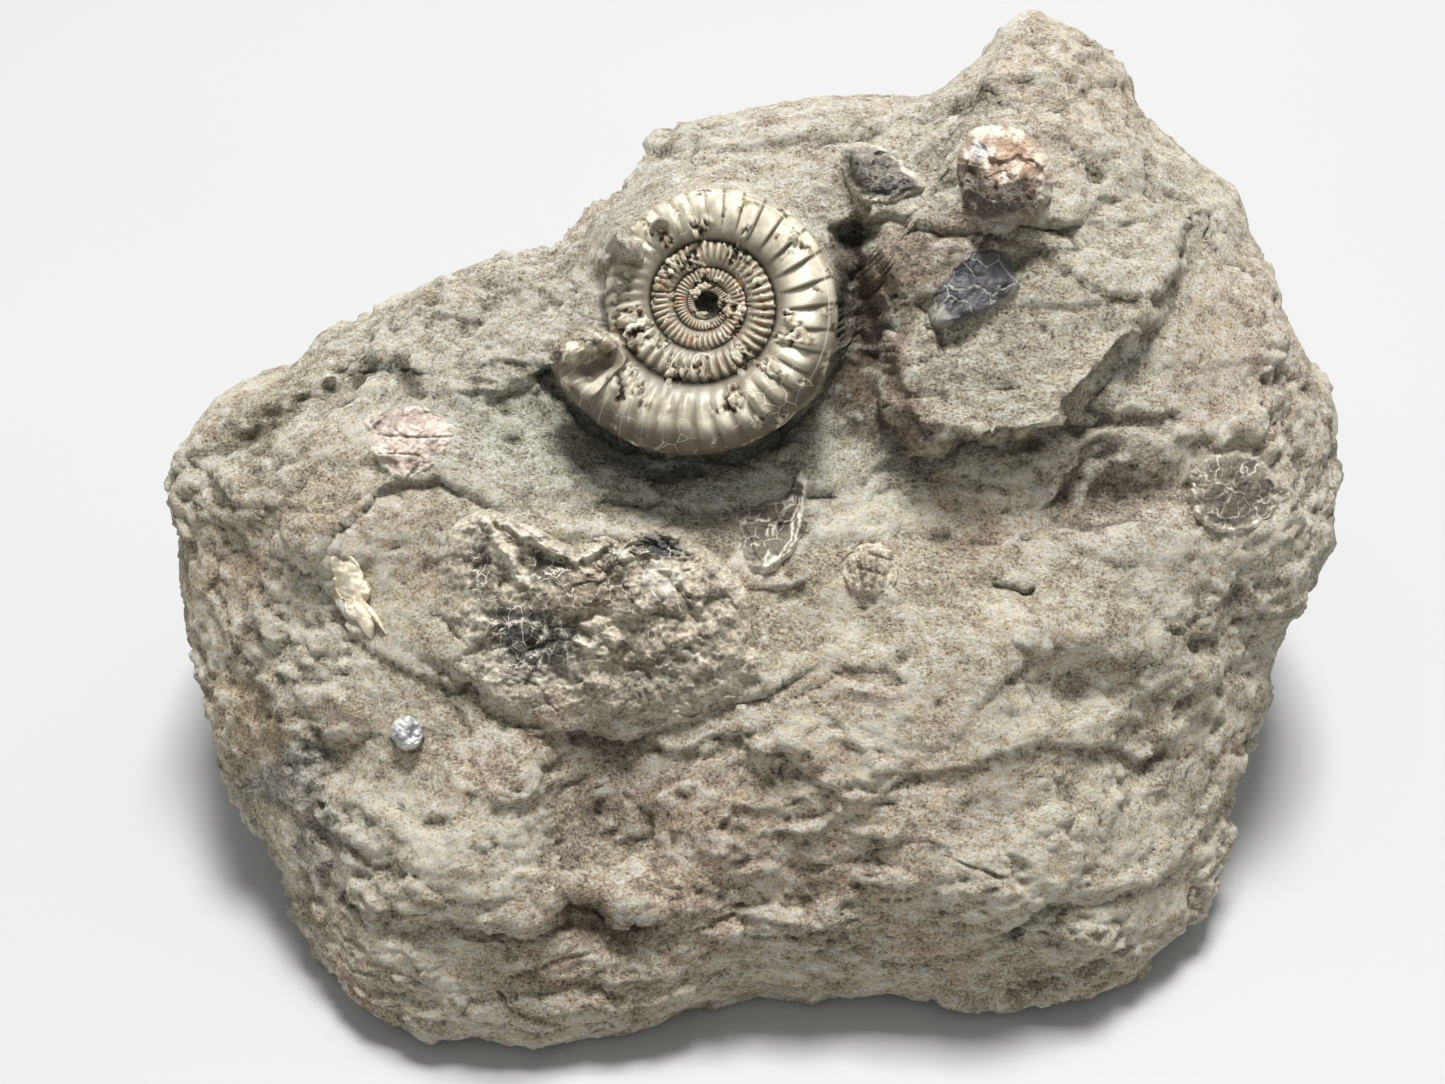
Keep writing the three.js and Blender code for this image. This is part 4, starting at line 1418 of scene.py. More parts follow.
@dataclass(frozen=True)
class SetPiece:
    """A fossil or crystal set in the face: a lens whose front follows the rock and whose back is hidden in it.

    Attributes:
        node: The node it stands for.
        slot: The record's slot; not used.
        corners: Its outline, as corners round a middle that sees them all.
        finish: Its material.
        rise: How far its middle stands out.
        brim: How much its outline stands out, less where negative.
        depth: How far the rock's bed lies under the face.
        grain: Height of its own texture.
        squareness: Power of its dome: 2 is round and 8 is a plate with a steep edge.
        kinship: How much of the rock's own texture and colour shows at its outline.
        relief: Extra swells on its front.
        lines: Thin ridges, pale, where the depth is negative, and dark cracks where it is positive.
        dabs: Patches of colour.
        rings: Rings of vertices from its middle to its outline.
    """

    node: str
    slot: str
    corners: tuple[Point, ...]
    finish: "CrackedFinish"
    rise: float = 0.5
    brim: float = 0.0
    depth: float = 0.9
    grain: float = 0.15
    squareness: float = 4.0
    kinship: float = 0.5
    relief: tuple[Swell, ...] = ()
    lines: tuple[Crack, ...] = ()
    dabs: tuple[Dab, ...] = ()
    rings: int = 40

    @property
    def middle(self) -> Array:
        """Mean of its corners."""
        return np.mean(np.array(self.corners), axis=0)

    def reach(self, angle: Array) -> Array:
        """Find the outline, straight in polar terms from corner to corner and a little ragged.

        Args:
            angle: Angles round its middle.

        Returns:
            Distance from its middle to its outline at each angle.
        """
        from_middle = np.array(self.corners) - self.middle
        angles = np.mod(np.arctan2(from_middle[:, 1], from_middle[:, 0]), TURN)
        order = np.argsort(angles)
        lengths = np.hypot(from_middle[:, 0], from_middle[:, 1])[order]
        ring = np.stack([np.cos(angle), np.sin(angle), np.full_like(angle, self.middle[0])], axis=-1)
        ragged = 1.03 + 0.05 * GRIT_NOISE.layered(ring * 4.0, 1.0, 3)
        return np.interp(np.mod(angle, TURN), angles[order], lengths, period=TURN) * ragged

    def colours(self, a: Array, b: Array) -> Array:
        """Work out its own tint: two tones mixed by noise, then its dabs and lines.

        Args:
            a: To the right.
            b: Up the face.

        Returns:
            A linear colour for each place.
        """
        flat = np.stack([a, b, np.full_like(a, 7.0)], axis=-1)
        mottle = smoothstep(0.5 + TINT_NOISE.layered(flat, 2.2, 4, 0.65))[:, None]
        tint = blend(linear(*self.finish.dark), linear(*self.finish.light), mottle)
        torn_a = a + 0.9 * TINT_NOISE.layered(flat, 2.5, 3)
        torn_b = b + 0.9 * TINT_NOISE.layered(flat + 41.0, 2.5, 3)
        for dab in self.dabs:
            patch = Swell(dab.at, dab.size, dab.turn, 1.0).share(torn_a, torn_b)
            tint = blend(tint, linear(*dab.colour), dab.strength * smoothstep(patch * 2.0 - 0.3)[:, None])
        line_a, line_b = self.wander(a, b)
        for line in self.lines:
            tone = linear(*self.finish.crack) if line.depth < 0.0 else StoneTone.CRACK.colour
            broken = smoothstep(0.75 + 1.6 * TINT_NOISE.smooth(flat, 1.7))
            tint = blend(tint, tone, (0.95 * line.share(line_a, line_b) * broken)[:, None])
        return tint

    @staticmethod
    def wander(a: Array, b: Array) -> tuple[Array, Array]:
        """Shift places by noise, so that thin lines wander and branch like natural cracks.

        Args:
            a: To the right.
            b: Up the face.

        Returns:
            The shifted places.
        """
        flat = np.stack([a, b, np.full_like(a, 3.0)], axis=-1)
        shift_a, shift_b = (0.62 * FLAKE_NOISE.layered(flat + start, 1.9, 3, 0.6) for start in (0.0, 23.0))
        return a + shift_a, b + shift_b

    def build(self, block: MatrixBlock) -> bpy.types.Object:
        """Make the piece on the block's front.

        Args:
            block: The block that it sits in.

        Returns:
            The piece.
        """
        grid = LensGrid(self.rings)
        share, angle, on_front = grid.share_and_angle()
        length = share * self.reach(angle)
        a = self.middle[0] + length * np.cos(angle)
        b = self.middle[1] + length * np.sin(angle)
        rock = block.front_at(a, b)
        flat = np.stack([a, b, rock], axis=-1)
        drop = 0.5 * smoothstep((share - 0.86) / 0.14)
        height = self.rise * (1.0 - 0.6 * self.kinship * share**2)
        dome = height * np.sqrt(np.maximum(0.0, 1.0 - share**self.squareness)) + self.brim * share**6 - drop
        chips = self.grain * (
            FLAKE_NOISE.layered(flat, 2.2, 4, 0.65) + 1.2 * smoothstep(FLAKE_NOISE.layered(flat, 3.4, 2) / 0.15 + 0.5)
        )
        line_a, line_b = self.wander(a, b)
        extra = sum((mark.lift(a, b) for mark in self.relief), np.zeros_like(a))
        extra = sum((line.lift(line_a, line_b) for line in self.lines), extra)
        seat = FACE.place(a, b, rock)
        low = self.kinship * smoothstep(0.3 - np.sin(angle))
        kin = self.kinship * smoothstep((share - 0.72 + 0.12 * low) / (0.26 + 0.08 * low))
        shared = block.roughness(seat) * np.maximum(smoothstep((share - 0.7) / 0.3), 0.7 * self.kinship)
        front = rock + dome + shared + (chips + extra) * (1.0 - share**10)
        back = rock - self.depth - 0.3 - 1.6 * np.sqrt(np.maximum(0.0, 1.0 - share**2))
        n = np.where(on_front, front, back)
        rock_tint = block.tint(a, b, seat, np.ones_like(a))
        marks = {
            "tint": blend(self.colours(a, b), 0.7 * rock_tint, kin[:, None]),
            "edge": smoothstep((share - 0.82) / 0.14) * smoothstep(0.6 + GRIT_NOISE.smooth(flat, 3.0)),
        }
        piece = make_piece(self.node + "_piece", FACE.place(a, b, n), grid.triangles(), marks)
        piece.data.materials.append(cracked_material(self.node + "_finish", self.finish))
        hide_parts(self.node)
        return piece


@dataclass(frozen=True)
class MouthFill:
    """The sediment in the broken mouth of the coil: an uneven lump.

    Attributes:
        name: Name of the piece.
        reach: From the coil's axis to the lump's middle.
        forward: How far it stands out of the mouth.
        over: How far its middle stands over the coil's plane.
        half: Half sizes outwards, along the tube and across it.
        rings: Rings of vertices in each half.
    """

    name: str = "mouth_sediment"
    reach: float = 13.0
    forward: float = 0.5
    over: float = 1.6
    half: tuple[float, float, float] = (3.2, 1.9, 2.6)
    rings: int = 36

    def build(self) -> bpy.types.Object:
        """Make the lump: a ball pushed in and out by noise.

        Returns:
            The lump.
        """
        grid = LensGrid(self.rings)
        share, angle, on_front = grid.share_and_angle()
        tilt = np.where(on_front, share, 2.0 - share) * math.pi / 2.0
        ball = np.stack([np.sin(tilt) * np.cos(angle), np.sin(tilt) * np.sin(angle), np.cos(tilt)], axis=-1)
        swell = 1.0 + 0.22 * KNOB_NOISE.layered(ball * 3.0, 2.4, 3)
        ball = ball * swell[:, None] * np.array(self.half)
        turn = COIL.mouth_angle + (ball[:, 1] - self.forward) / self.reach
        points = COIL.point(self.reach + ball[:, 0], turn, self.over + ball[:, 2])
        triangles = grid.triangles()
        push = 0.3 * FLAKE_NOISE.layered(points, 1.6, 3, 0.6)
        points = points + vertex_normals(points, triangles) * push[:, None]
        tint = np.broadcast_to(StoneTone.GREY.colour, points.shape)
        # hollow drives the material's painted shade in the dents and its crust with painted highlight on the bumps.
        marks = {"tint": tint, "hollow": np.clip(0.5 - push / 0.5, 0.0, 1.0)}
        piece = make_piece(self.name, points, triangles, marks)
        piece.data.materials.append(stone_material("sediment", StoneFinish()))
        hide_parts("mouth_infill")
        return piece


# ---------------------------------------------------------------- finishes


class NodeSketch:
    """A short way to place and join shader nodes in one tree."""

    def __init__(self, tree: bpy.types.NodeTree) -> None:
        """Keep the tree that nodes go into.

        Args:
            tree: A material's tree or a group's.
        """
        self.tree = tree

    def node(self, kind: str, inputs: dict | None = None, **settings: object) -> bpy.types.Node:
        """Add a node.

        Args:
            kind: Its type name.
            inputs: Values or sockets for its inputs, by name or number.
            **settings: Its own properties.

        Returns:
            The node.
        """
        made = self.tree.nodes.new(kind)
        for key, value in settings.items():
            setattr(made, key, value)
        for key, value in (inputs or {}).items():
            socket = made.inputs[key]
            if isinstance(value, bpy.types.NodeSocket):
                self.tree.links.new(value, socket)
            else:
                socket.default_value = value
        return made

    def math(self, operation: str, first: object, second: object = 0.5, clamp: bool = False) -> bpy.types.NodeSocket:
        """Add a Math node and give its output."""
        return self.node("ShaderNodeMath", {0: first, 1: second}, operation=operation, use_clamp=clamp).outputs[0]

    def times(self, first: object, second: object) -> bpy.types.NodeSocket:
        """Multiply two values."""
        return self.math("MULTIPLY", first, second)

    def ramp(self, value: object, low: float, high: float) -> bpy.types.NodeSocket:
        """Rise smoothly from 0 to 1 as value goes from low to high."""
        inputs = {0: value, 1: low, 2: high, 3: 0.0, 4: 1.0}
        return self.node("ShaderNodeMapRange", inputs, interpolation_type="SMOOTHSTEP").outputs[0]

    def mix(self, share: object, low: object, high: object, how: str = "MIX") -> bpy.types.NodeSocket:
        """Mix two colours.

        Args:
            share: Share of the second colour.
            low: The first colour, a socket or three values.
            high: The second colour.
            how: The kind of mix.

        Returns:
            The mixed colour.
        """
        low, high = (c if isinstance(c, bpy.types.NodeSocket) else (*c, 1.0) for c in (low, high))
        settings = {"data_type": "RGBA", "blend_type": how, "clamp_result": True}
        made = self.node("ShaderNodeMix", **settings)
        for key, value in ((0, share), (6, low), (7, high)):
            if isinstance(value, bpy.types.NodeSocket):
                self.tree.links.new(value, made.inputs[key])
            else:
                made.inputs[key].default_value = value
        return made.outputs[2]

    def edges(self, place: object, scale: float, randomness: float = 1.0) -> bpy.types.NodeSocket:
        """Distance to the edges of a net of cells, at a number of cells to a millimetre."""
        inputs = {"Vector": place, "Scale": scale, "Randomness": randomness}
        return self.node("ShaderNodeTexVoronoi", inputs, feature="DISTANCE_TO_EDGE").outputs["Distance"]

    def bump(
        self, height: object, distance: float, strength: object = 1.0, under: object = None
    ) -> bpy.types.NodeSocket:
        """Make a bump.

        Args:
            height: Its height.
            distance: Millimetres for a height of 1.
            strength: Its strength.
            under: A bump that it lies on.

        Returns:
            The bumped normal.
        """
        inputs = {"Height": height, "Distance": distance * MM, "Strength": strength}
        if under is not None:
            inputs["Normal"] = under
        return self.node("ShaderNodeBump", inputs).outputs[0]

    def attribute(self, name: str, colour: bool = False) -> bpy.types.NodeSocket:
        """Read a value kept on the mesh."""
        made = self.node("ShaderNodeAttribute", attribute_name=name)
        return made.outputs["Color" if colour else "Fac"]

    def millimetres(self, stretch: tuple[float, float, float] = (1.0, 1.0, 1.0)) -> bpy.types.NodeSocket:
        """Read object coordinates in millimetres.

        Args:
            stretch: How they are stretched along x, y and z.

        Returns:
            The coordinates.
        """
        place = self.node("ShaderNodeTexCoord").outputs["Object"]
        scale = tuple(value / MM for value in stretch)
        return self.node("ShaderNodeMapping", {"Vector": place, "Scale": scale}).outputs[0]

    def noise(self, place: object, scale: object, detail: float = 3.0, rough: float = 0.6) -> bpy.types.NodeSocket:
        """Noise at a number of lumps to a millimetre."""
        inputs = {"Vector": place, "Scale": scale, "Detail": detail, "Roughness": rough}
        return self.node("ShaderNodeTexNoise", inputs).outputs[0]


def grain_group() -> bpy.types.NodeTree:
    """Make the shared grain: pale grains over dark pores, and the height that goes with them.

    Returns:
        The node group, with inputs Grains and Contrast and outputs Shade, Pores and Height.
    """
    name = "stone_grain"
    if name in bpy.data.node_groups:
        return bpy.data.node_groups[name]
    group = bpy.data.node_groups.new(name, "ShaderNodeTree")
    for way, sockets in (("INPUT", ("Grains", "Contrast")), ("OUTPUT", ("Shade", "Pores", "Height"))):
        for socket in sockets:
            group.interface.new_socket(socket, in_out=way, socket_type="NodeSocketFloat")
    sketch = NodeSketch(group)
    entry = sketch.node("NodeGroupInput")
    place = sketch.millimetres((0.8, 1.0, 1.0))
    fine = sketch.noise(place, entry.outputs["Grains"], 5.0, 0.78)
    coarse = sketch.noise(place, sketch.times(entry.outputs["Grains"], 0.28), 3.0, 0.65)
    both = sketch.math("ADD", sketch.times(fine, 0.75), sketch.times(coarse, 0.25))
    pores = sketch.ramp(fine, 0.42, 0.32)
    shade = sketch.times(sketch.math("SUBTRACT", both, 0.5), entry.outputs["Contrast"])
    leave = sketch.node("NodeGroupOutput")
    for socket, value in (("Shade", shade), ("Pores", pores), ("Height", both)):
        group.links.new(value, leave.inputs[socket])
    return group


def new_material(name: str, roughness: float, specular: float = 0.5) -> tuple[bpy.types.Material, NodeSketch]:
    """Start a node material.

    Args:
        name: Its name.
        roughness: Dullness of the surface.
        specular: Strength of its reflections.

    Returns:
        The material and its sketch.
    """
    material = bpy.data.materials.new(name)
    material.use_nodes = True
    inputs = material.node_tree.nodes["Principled BSDF"].inputs
    inputs["Roughness"].default_value = roughness
    inputs["Specular IOR Level"].default_value = specular
    return material, NodeSketch(material.node_tree)


def connect(material: bpy.types.Material, **sockets: bpy.types.NodeSocket) -> bpy.types.Material:
    """Join sockets to a material's shader.

    Args:
        material: The material.
        **sockets: A socket for each of the shader's inputs, by its name with _ for a space.

    Returns:
        The same material.
    """
    tree = material.node_tree
    for name, socket in sockets.items():
        tree.links.new(socket, tree.nodes["Principled BSDF"].inputs[name.replace("_", " ")])
    return material


def use_grain(sketch: NodeSketch, grains: float, contrast: float) -> bpy.types.Node:
    """Place the shared grain in a material.

    Args:
        sketch: The material's sketch.
        grains: Grains to a millimetre.
        contrast: How far its shade departs from 0.

    Returns:
        The group's node.
    """
    made = sketch.node("ShaderNodeGroup", node_tree=grain_group())
    for name, value in (("Grains", grains), ("Contrast", contrast)):
        made.inputs[name].default_value = value
    return made


def speckled(sketch: NodeSketch, grain: bpy.types.Node, colour: bpy.types.NodeSocket) -> bpy.types.NodeSocket:
    """Lay the shared grain over a colour: its shade lightens grains and darkens what lies between them.

    Args:
        sketch: The material's sketch.
        grain: The grain's node.
        colour: The colour under it.

    Returns:
        The grainy colour.
    """
    grey = sketch.math("ADD", grain.outputs["Shade"], 0.5)
    shade = sketch.node("ShaderNodeCombineColor", {0: grey, 1: grey, 2: grey}).outputs[0]
    return sketch.mix(1.0, colour, shade, "OVERLAY")


def stone_material(name: str, finish: StoneFinish) -> bpy.types.Material:
    """Dress the limestone: its own tint under a pale sandy crust that also paints highlight on the raised grain, with
    painted shade in hollows and deep recesses, and darker pores.

    Args:
        name: Name of the material.
        finish: The stone's finish.

    Returns:
        The material.
    """
    material, sketch = new_material(name, finish.roughness, specular=0.25)
    grain = use_grain(sketch, finish.grain, finish.contrast)
    tint, hollow = sketch.attribute("tint", colour=True), sketch.attribute("hollow")
    blotch = sketch.noise(sketch.millimetres((0.7, 1.0, 1.0)), 0.42, 5.0, 0.68)
    dim = sketch.mix(1.0, tint, (0.68, 0.655, 0.62), "MULTIPLY")
    colour = sketch.mix(sketch.ramp(blotch, 0.36, 0.6), dim, tint)
    # Painted highlight: the pale crust on raised, blotchy stone stands partly for a real crust and partly for light on
    # the crests.
    crust_and_highlight = sketch.times(sketch.ramp(hollow, 0.55, 0.2), sketch.ramp(blotch, 0.42, 0.6))
    for cover, strength, tone in (
        (crust_and_highlight, 0.75, StoneTone.CRUST_AND_HIGHLIGHT),
        # Painted shade in the hollows.
        (sketch.ramp(hollow, 0.58, 1.0), 0.5, StoneTone.HOLLOW_SHADE),
        # Painted shade in the deep recesses.
        (sketch.attribute("recess_shade"), 0.45, StoneTone.DEEP_SHADE),
        (grain.outputs["Pores"], 0.5, StoneTone.PORE),
    ):
        colour = sketch.mix(sketch.times(cover, strength), colour, tone.colour)
    wave = sketch.noise(sketch.millimetres((0.55, 1.0, 1.25)), 0.62, 6.0, 0.62)
    layers = sketch.times(wave, finish.layers)
    rise = sketch.ramp(sketch.math("FRACT", layers), 0.76, 1.0)
    terrace = sketch.bump(sketch.math("ADD", sketch.math("FLOOR", layers), rise), finish.step)
    normal = sketch.bump(grain.outputs["Height"], finish.bump, under=terrace)
    return connect(material, Base_Color=speckled(sketch, grain, colour), Normal=normal)


def shell_material(name: str, finish: ShellFinish) -> bpy.types.Material:
    """Dress the coiled shell: satin grey-gold with crumbs, rust specks and pale hair cracks, with painted shade in its
    seams, between its ribs, on the inner wall of each whorl, under its lower flank and inside the mouth's ring, and a
    painted highlight along the rib crests.

    Args:
        name: Name of the material.
        finish: The shell's finish.

    Returns:
        The material.
    """
    material, sketch = new_material(name, finish.roughness, specular=0.55)
    mix, times, ramp = sketch.mix, sketch.times, sketch.ramp
    place = sketch.millimetres()
    grain = use_grain(sketch, 2.6, 1.3)
    outward, inner, crumb, pit = (sketch.attribute(mark) for mark in ("outward", "inner", "crumb", "pit"))
    mottle = ramp(sketch.noise(place, 0.3, 4.0), 0.35, 0.65)
    body = mix(mottle, ShellTone.BODY.colour, ShellTone.PALE_BODY.colour)
    aged = mix(times(inner, 0.5), body, ShellTone.AGED.colour)
    # Painted shade between the ribs.
    valley = times(ramp(sketch.attribute("valley"), 0.4, 1.0), 0.85)
    shaded = mix(valley, aged, ShellTone.VALLEY_SHADE.colour)
    # Painted shade on the inner wall of each whorl and under its lower flank.
    underside_shade = times(sketch.attribute("under"), 0.92)
    wall = sketch.math("MAXIMUM", times(ramp(outward, 0.46, 0.14), 0.7), underside_shade)
    wall_shaded = mix(wall, shaded, ShellTone.WALL_SHADE.colour)
    # Painted highlight along the rib crests.
    gleam = times(ramp(sketch.attribute("crest"), 0.965, 1.0), 0.35)
    crested = mix(gleam, wall_shaded, ShellTone.GLEAM.colour)
    crumb_mottle = ramp(sketch.noise(place, 0.8, 4.0), 0.4, 0.6)
    crumbs = mix(crumb, crested, mix(crumb_mottle, ShellTone.CRUMB.colour, ShellTone.PALE_CRUMB.colour))
    here = ramp(sketch.noise(place, 0.16, 2.0), 0.5, 0.58)
    hair = times(ramp(sketch.edges(place, 0.5), 0.016, 0.005), here)
    edge_line = sketch.math("COMPARE", outward, 0.9)
    edge_line.node.inputs[2].default_value = 0.012
    edge_part = times(times(edge_line, 0.3), sketch.attribute("line"))
    veined = mix(sketch.math("MAXIMUM", times(hair, 0.7), edge_part), crumbs, ShellTone.HAIR_CRACK.colour)
    rough_share = sketch.math("ADD", times(crumb, 0.85), 0.12, True)
    grainy = mix(rough_share, veined, speckled(sketch, grain, veined))
    dark_pores = times(grain.outputs["Pores"], times(crumb, 0.8))
    # Dark pores and pits, with painted shade inside the mouth's ring.
    pored = mix(sketch.math("MAXIMUM", dark_pores, pit), grainy, ShellTone.PORE.colour)
    # Painted shade in the seam between the whorls.
    seam = mix(ramp(outward, 0.16, 0.07), pored, ShellTone.SEAM_SHADE.colour)
    spots = ramp(sketch.noise(place, 0.85, 3.0), 0.6, 0.68)
    rust = times(spots, sketch.math("ADD", times(inner, 0.7), 0.06, True))
    rusted = mix(rust, seam, ShellTone.RUST.colour)
    golds = ramp(sketch.noise(sketch.millimetres((1.0, 1.3, 0.9)), 0.6, 3.0), 0.63, 0.7)
    gold = times(golds, sketch.math("ADD", times(inner, 0.5), 0.05, True))
    colour = mix(gold, rusted, ShellTone.GOLD.colour)
    dull = sketch.node("ShaderNodeMapRange", {0: crumb, 3: finish.roughness, 4: 0.9}).outputs[0]
    normal = sketch.bump(grain.outputs["Height"], finish.bump, rough_share)
    return connect(material, Base_Color=colour, Roughness=dull, Normal=normal)


@dataclass(frozen=True)
class CrackedFinish:
    """Calcite, shell or crystal of two tones, crossed by thin cracks.

    Attributes:
        dark: Its darker tone, as a screen colour.
        light: Its paler tone.
        crack: Colour of the cracks and of its pale edge.
        cells: Cracked plates to a millimetre.
        cracks: Strength of the cracks, 0 for none.
        width: Width of a crack, as a share of a plate.
        stretch: How the plates are drawn out along x, y and z.
        edge: Strength of the pale edge.
        roughness: Dullness of the surface.
        speckle: Contrast of the grain.
        bump: Height of the grain, in millimetres.
    """

    dark: tuple[int, int, int] = (98, 90, 78)
    light: tuple[int, int, int] = (150, 140, 122)
    crack: tuple[int, int, int] = (222, 216, 200)
    cells: float = 0.8
    cracks: float = 0.7
    width: float = 0.05
    stretch: tuple[float, float, float] = (1.0, 1.0, 1.0)
    edge: float = 0.5
    roughness: float = 0.5
    speckle: float = 0.45
    bump: float = 0.12


def cracked_material(name: str, finish: CrackedFinish) -> bpy.types.Material:
    """Dress a smaller fossil: its own tint, a broken net of thin pale cracks, and a pale edge.

    Args:
        name: Name of the material.
        finish: The fossil's finish.

    Returns:
        The material.
    """
    material, sketch = new_material(name, finish.roughness, specular=0.4)
    place = sketch.millimetres(finish.stretch)
    grain = use_grain(sketch, 2.8, finish.speckle)
    wander = sketch.node("ShaderNodeTexNoise", {"Vector": place, "Scale": 1.3, "Detail": 4.0}).outputs["Color"]
    torn = sketch.node("ShaderNodeMix", {0: 0.3, 4: place, 5: wander}, data_type="VECTOR").outputs[1]
    net = sketch.edges(torn, finish.cells, 0.75)
    own = sketch.attribute("tint", colour=True)
    grey = sketch.node("ShaderNodeRGBToBW", {0: own}).outputs[0]
    kept = sketch.ramp(sketch.noise(place, 0.5, 4.0), 0.4, 0.5)
    thin = sketch.times(sketch.ramp(net, finish.width, finish.width * 0.25), kept)
    crack = sketch.times(thin, sketch.times(sketch.ramp(grey, 0.36, 0.15), finish.cracks))
    pale = linear(*finish.crack)
    edged = sketch.mix(sketch.times(sketch.attribute("edge"), finish.edge), sketch.mix(crack, own, pale), pale)
    height = sketch.math("ADD", grain.outputs["Height"], sketch.times(crack, 0.4))
    normal = sketch.bump(height, finish.bump)
    return connect(material, Base_Color=speckled(sketch, grain, edged), Normal=normal)


# ---------------------------------------------------------------- stage


@dataclass(frozen=True)
class Stage:
    """Floor, light and camera.

    Attributes:
        lens: Focal length of the camera, in millimetres.
        distance: From the camera to the face's middle.
        shift: Small sideways and upward shift of the frame.
        floor_size: Width of the floor, in metres.
        lamp_at: Place of the lamp, in metres.
        lamp_size: Width of the lamp, in metres.
        lamp_power: Power of the lamp, in watts.
        lamp_aim: The point that the lamp shines at.
        sky: Brightness of the light from all round.
        floor_tones: Two greys that the floor is mottled with.
    """

    lens: float = 50.0
    distance: float = 200.7
    shift: Point = (-0.019, -0.0055)
    floor_size: float = 6.0
    lamp_at: tuple[float, float, float] = (0.05, 0.22, 1.15)
    lamp_size: float = 0.3
    lamp_power: float = 21.5
    lamp_aim: tuple[float, float, float] = (0.0, 0.0, 0.03)
    sky: float = 0.46
    floor_tones: tuple[float, float] = (0.42, 0.45)

    def build(self) -> None:
        """Place the floor, the lights and the camera."""
        self.floor()
        self.lights()
        self.camera()

    def floor(self) -> None:
        """Make the pale floor: a grid of one face, a hair below the resting plane."""
        half = self.floor_size / 2.0
        mesh = bpy.data.meshes.new("floor")
        corners = ((-half, -half), (half, -half), (half, half), (-half, half))
        mesh.from_pydata([(x, y, -0.00002) for x, y in corners], [], [(0, 1, 2, 3)])
        floor = bpy.data.objects.new("floor", mesh)
        bpy.context.scene.collection.objects.link(floor)
        material, sketch = new_material("pale_table", 0.6)
        cloud = sketch.noise(sketch.node("ShaderNodeTexCoord").outputs["Object"], 6.0, 2.0)
        dark, light = ((tone, tone, tone) for tone in self.floor_tones)
        mesh.materials.append(connect(material, Base_Color=sketch.mix(cloud, dark, light)))

    def lights(self) -> None:
        """Make an even sky and one small soft lamp, high over the block and a little behind it."""
        world = bpy.data.worlds.new("soft_room")
        bpy.context.scene.world = world
        world.use_nodes = True
        white, strength = world.node_tree.nodes["Background"].inputs[:2]
        white.default_value = (1.0, 1.0, 1.0, 1.0)
        strength.default_value = self.sky
        data = bpy.data.lights.new("window", "AREA")
        data.shape = "SQUARE"
        data.size = self.lamp_size
        data.energy = self.lamp_power
        lamp = bpy.data.objects.new("window", data)
        lamp.location = Vector(self.lamp_at)
        aim = Vector(self.lamp_aim) - lamp.location
        lamp.rotation_euler = aim.to_track_quat("-Z", "Y").to_euler()
        bpy.context.scene.collection.objects.link(lamp)

    def camera(self) -> None:
        """Look square on at the leaning face."""
        data = bpy.data.cameras.new("camera")
        data.lens = self.lens
        data.shift_x, data.shift_y = self.shift
        data.clip_start = 0.01
        camera = bpy.data.objects.new("camera", data)
        camera.location = Vector((FACE.centre + FACE.out * self.distance) * MM)
        camera.rotation_euler = Vector(-FACE.out).to_track_quat("-Z", "Y").to_euler()
        bpy.context.scene.collection.objects.link(camera)
        bpy.context.scene.camera = camera
        bpy.context.scene.view_settings.view_transform = "Standard"


def cracks(width: float, depth: float, *paths: tuple[Point, ...]) -> tuple[Crack, ...]:
    """Make cracks of one width and depth, one along each path."""
    return tuple(Crack(path, width, depth) for path in paths)


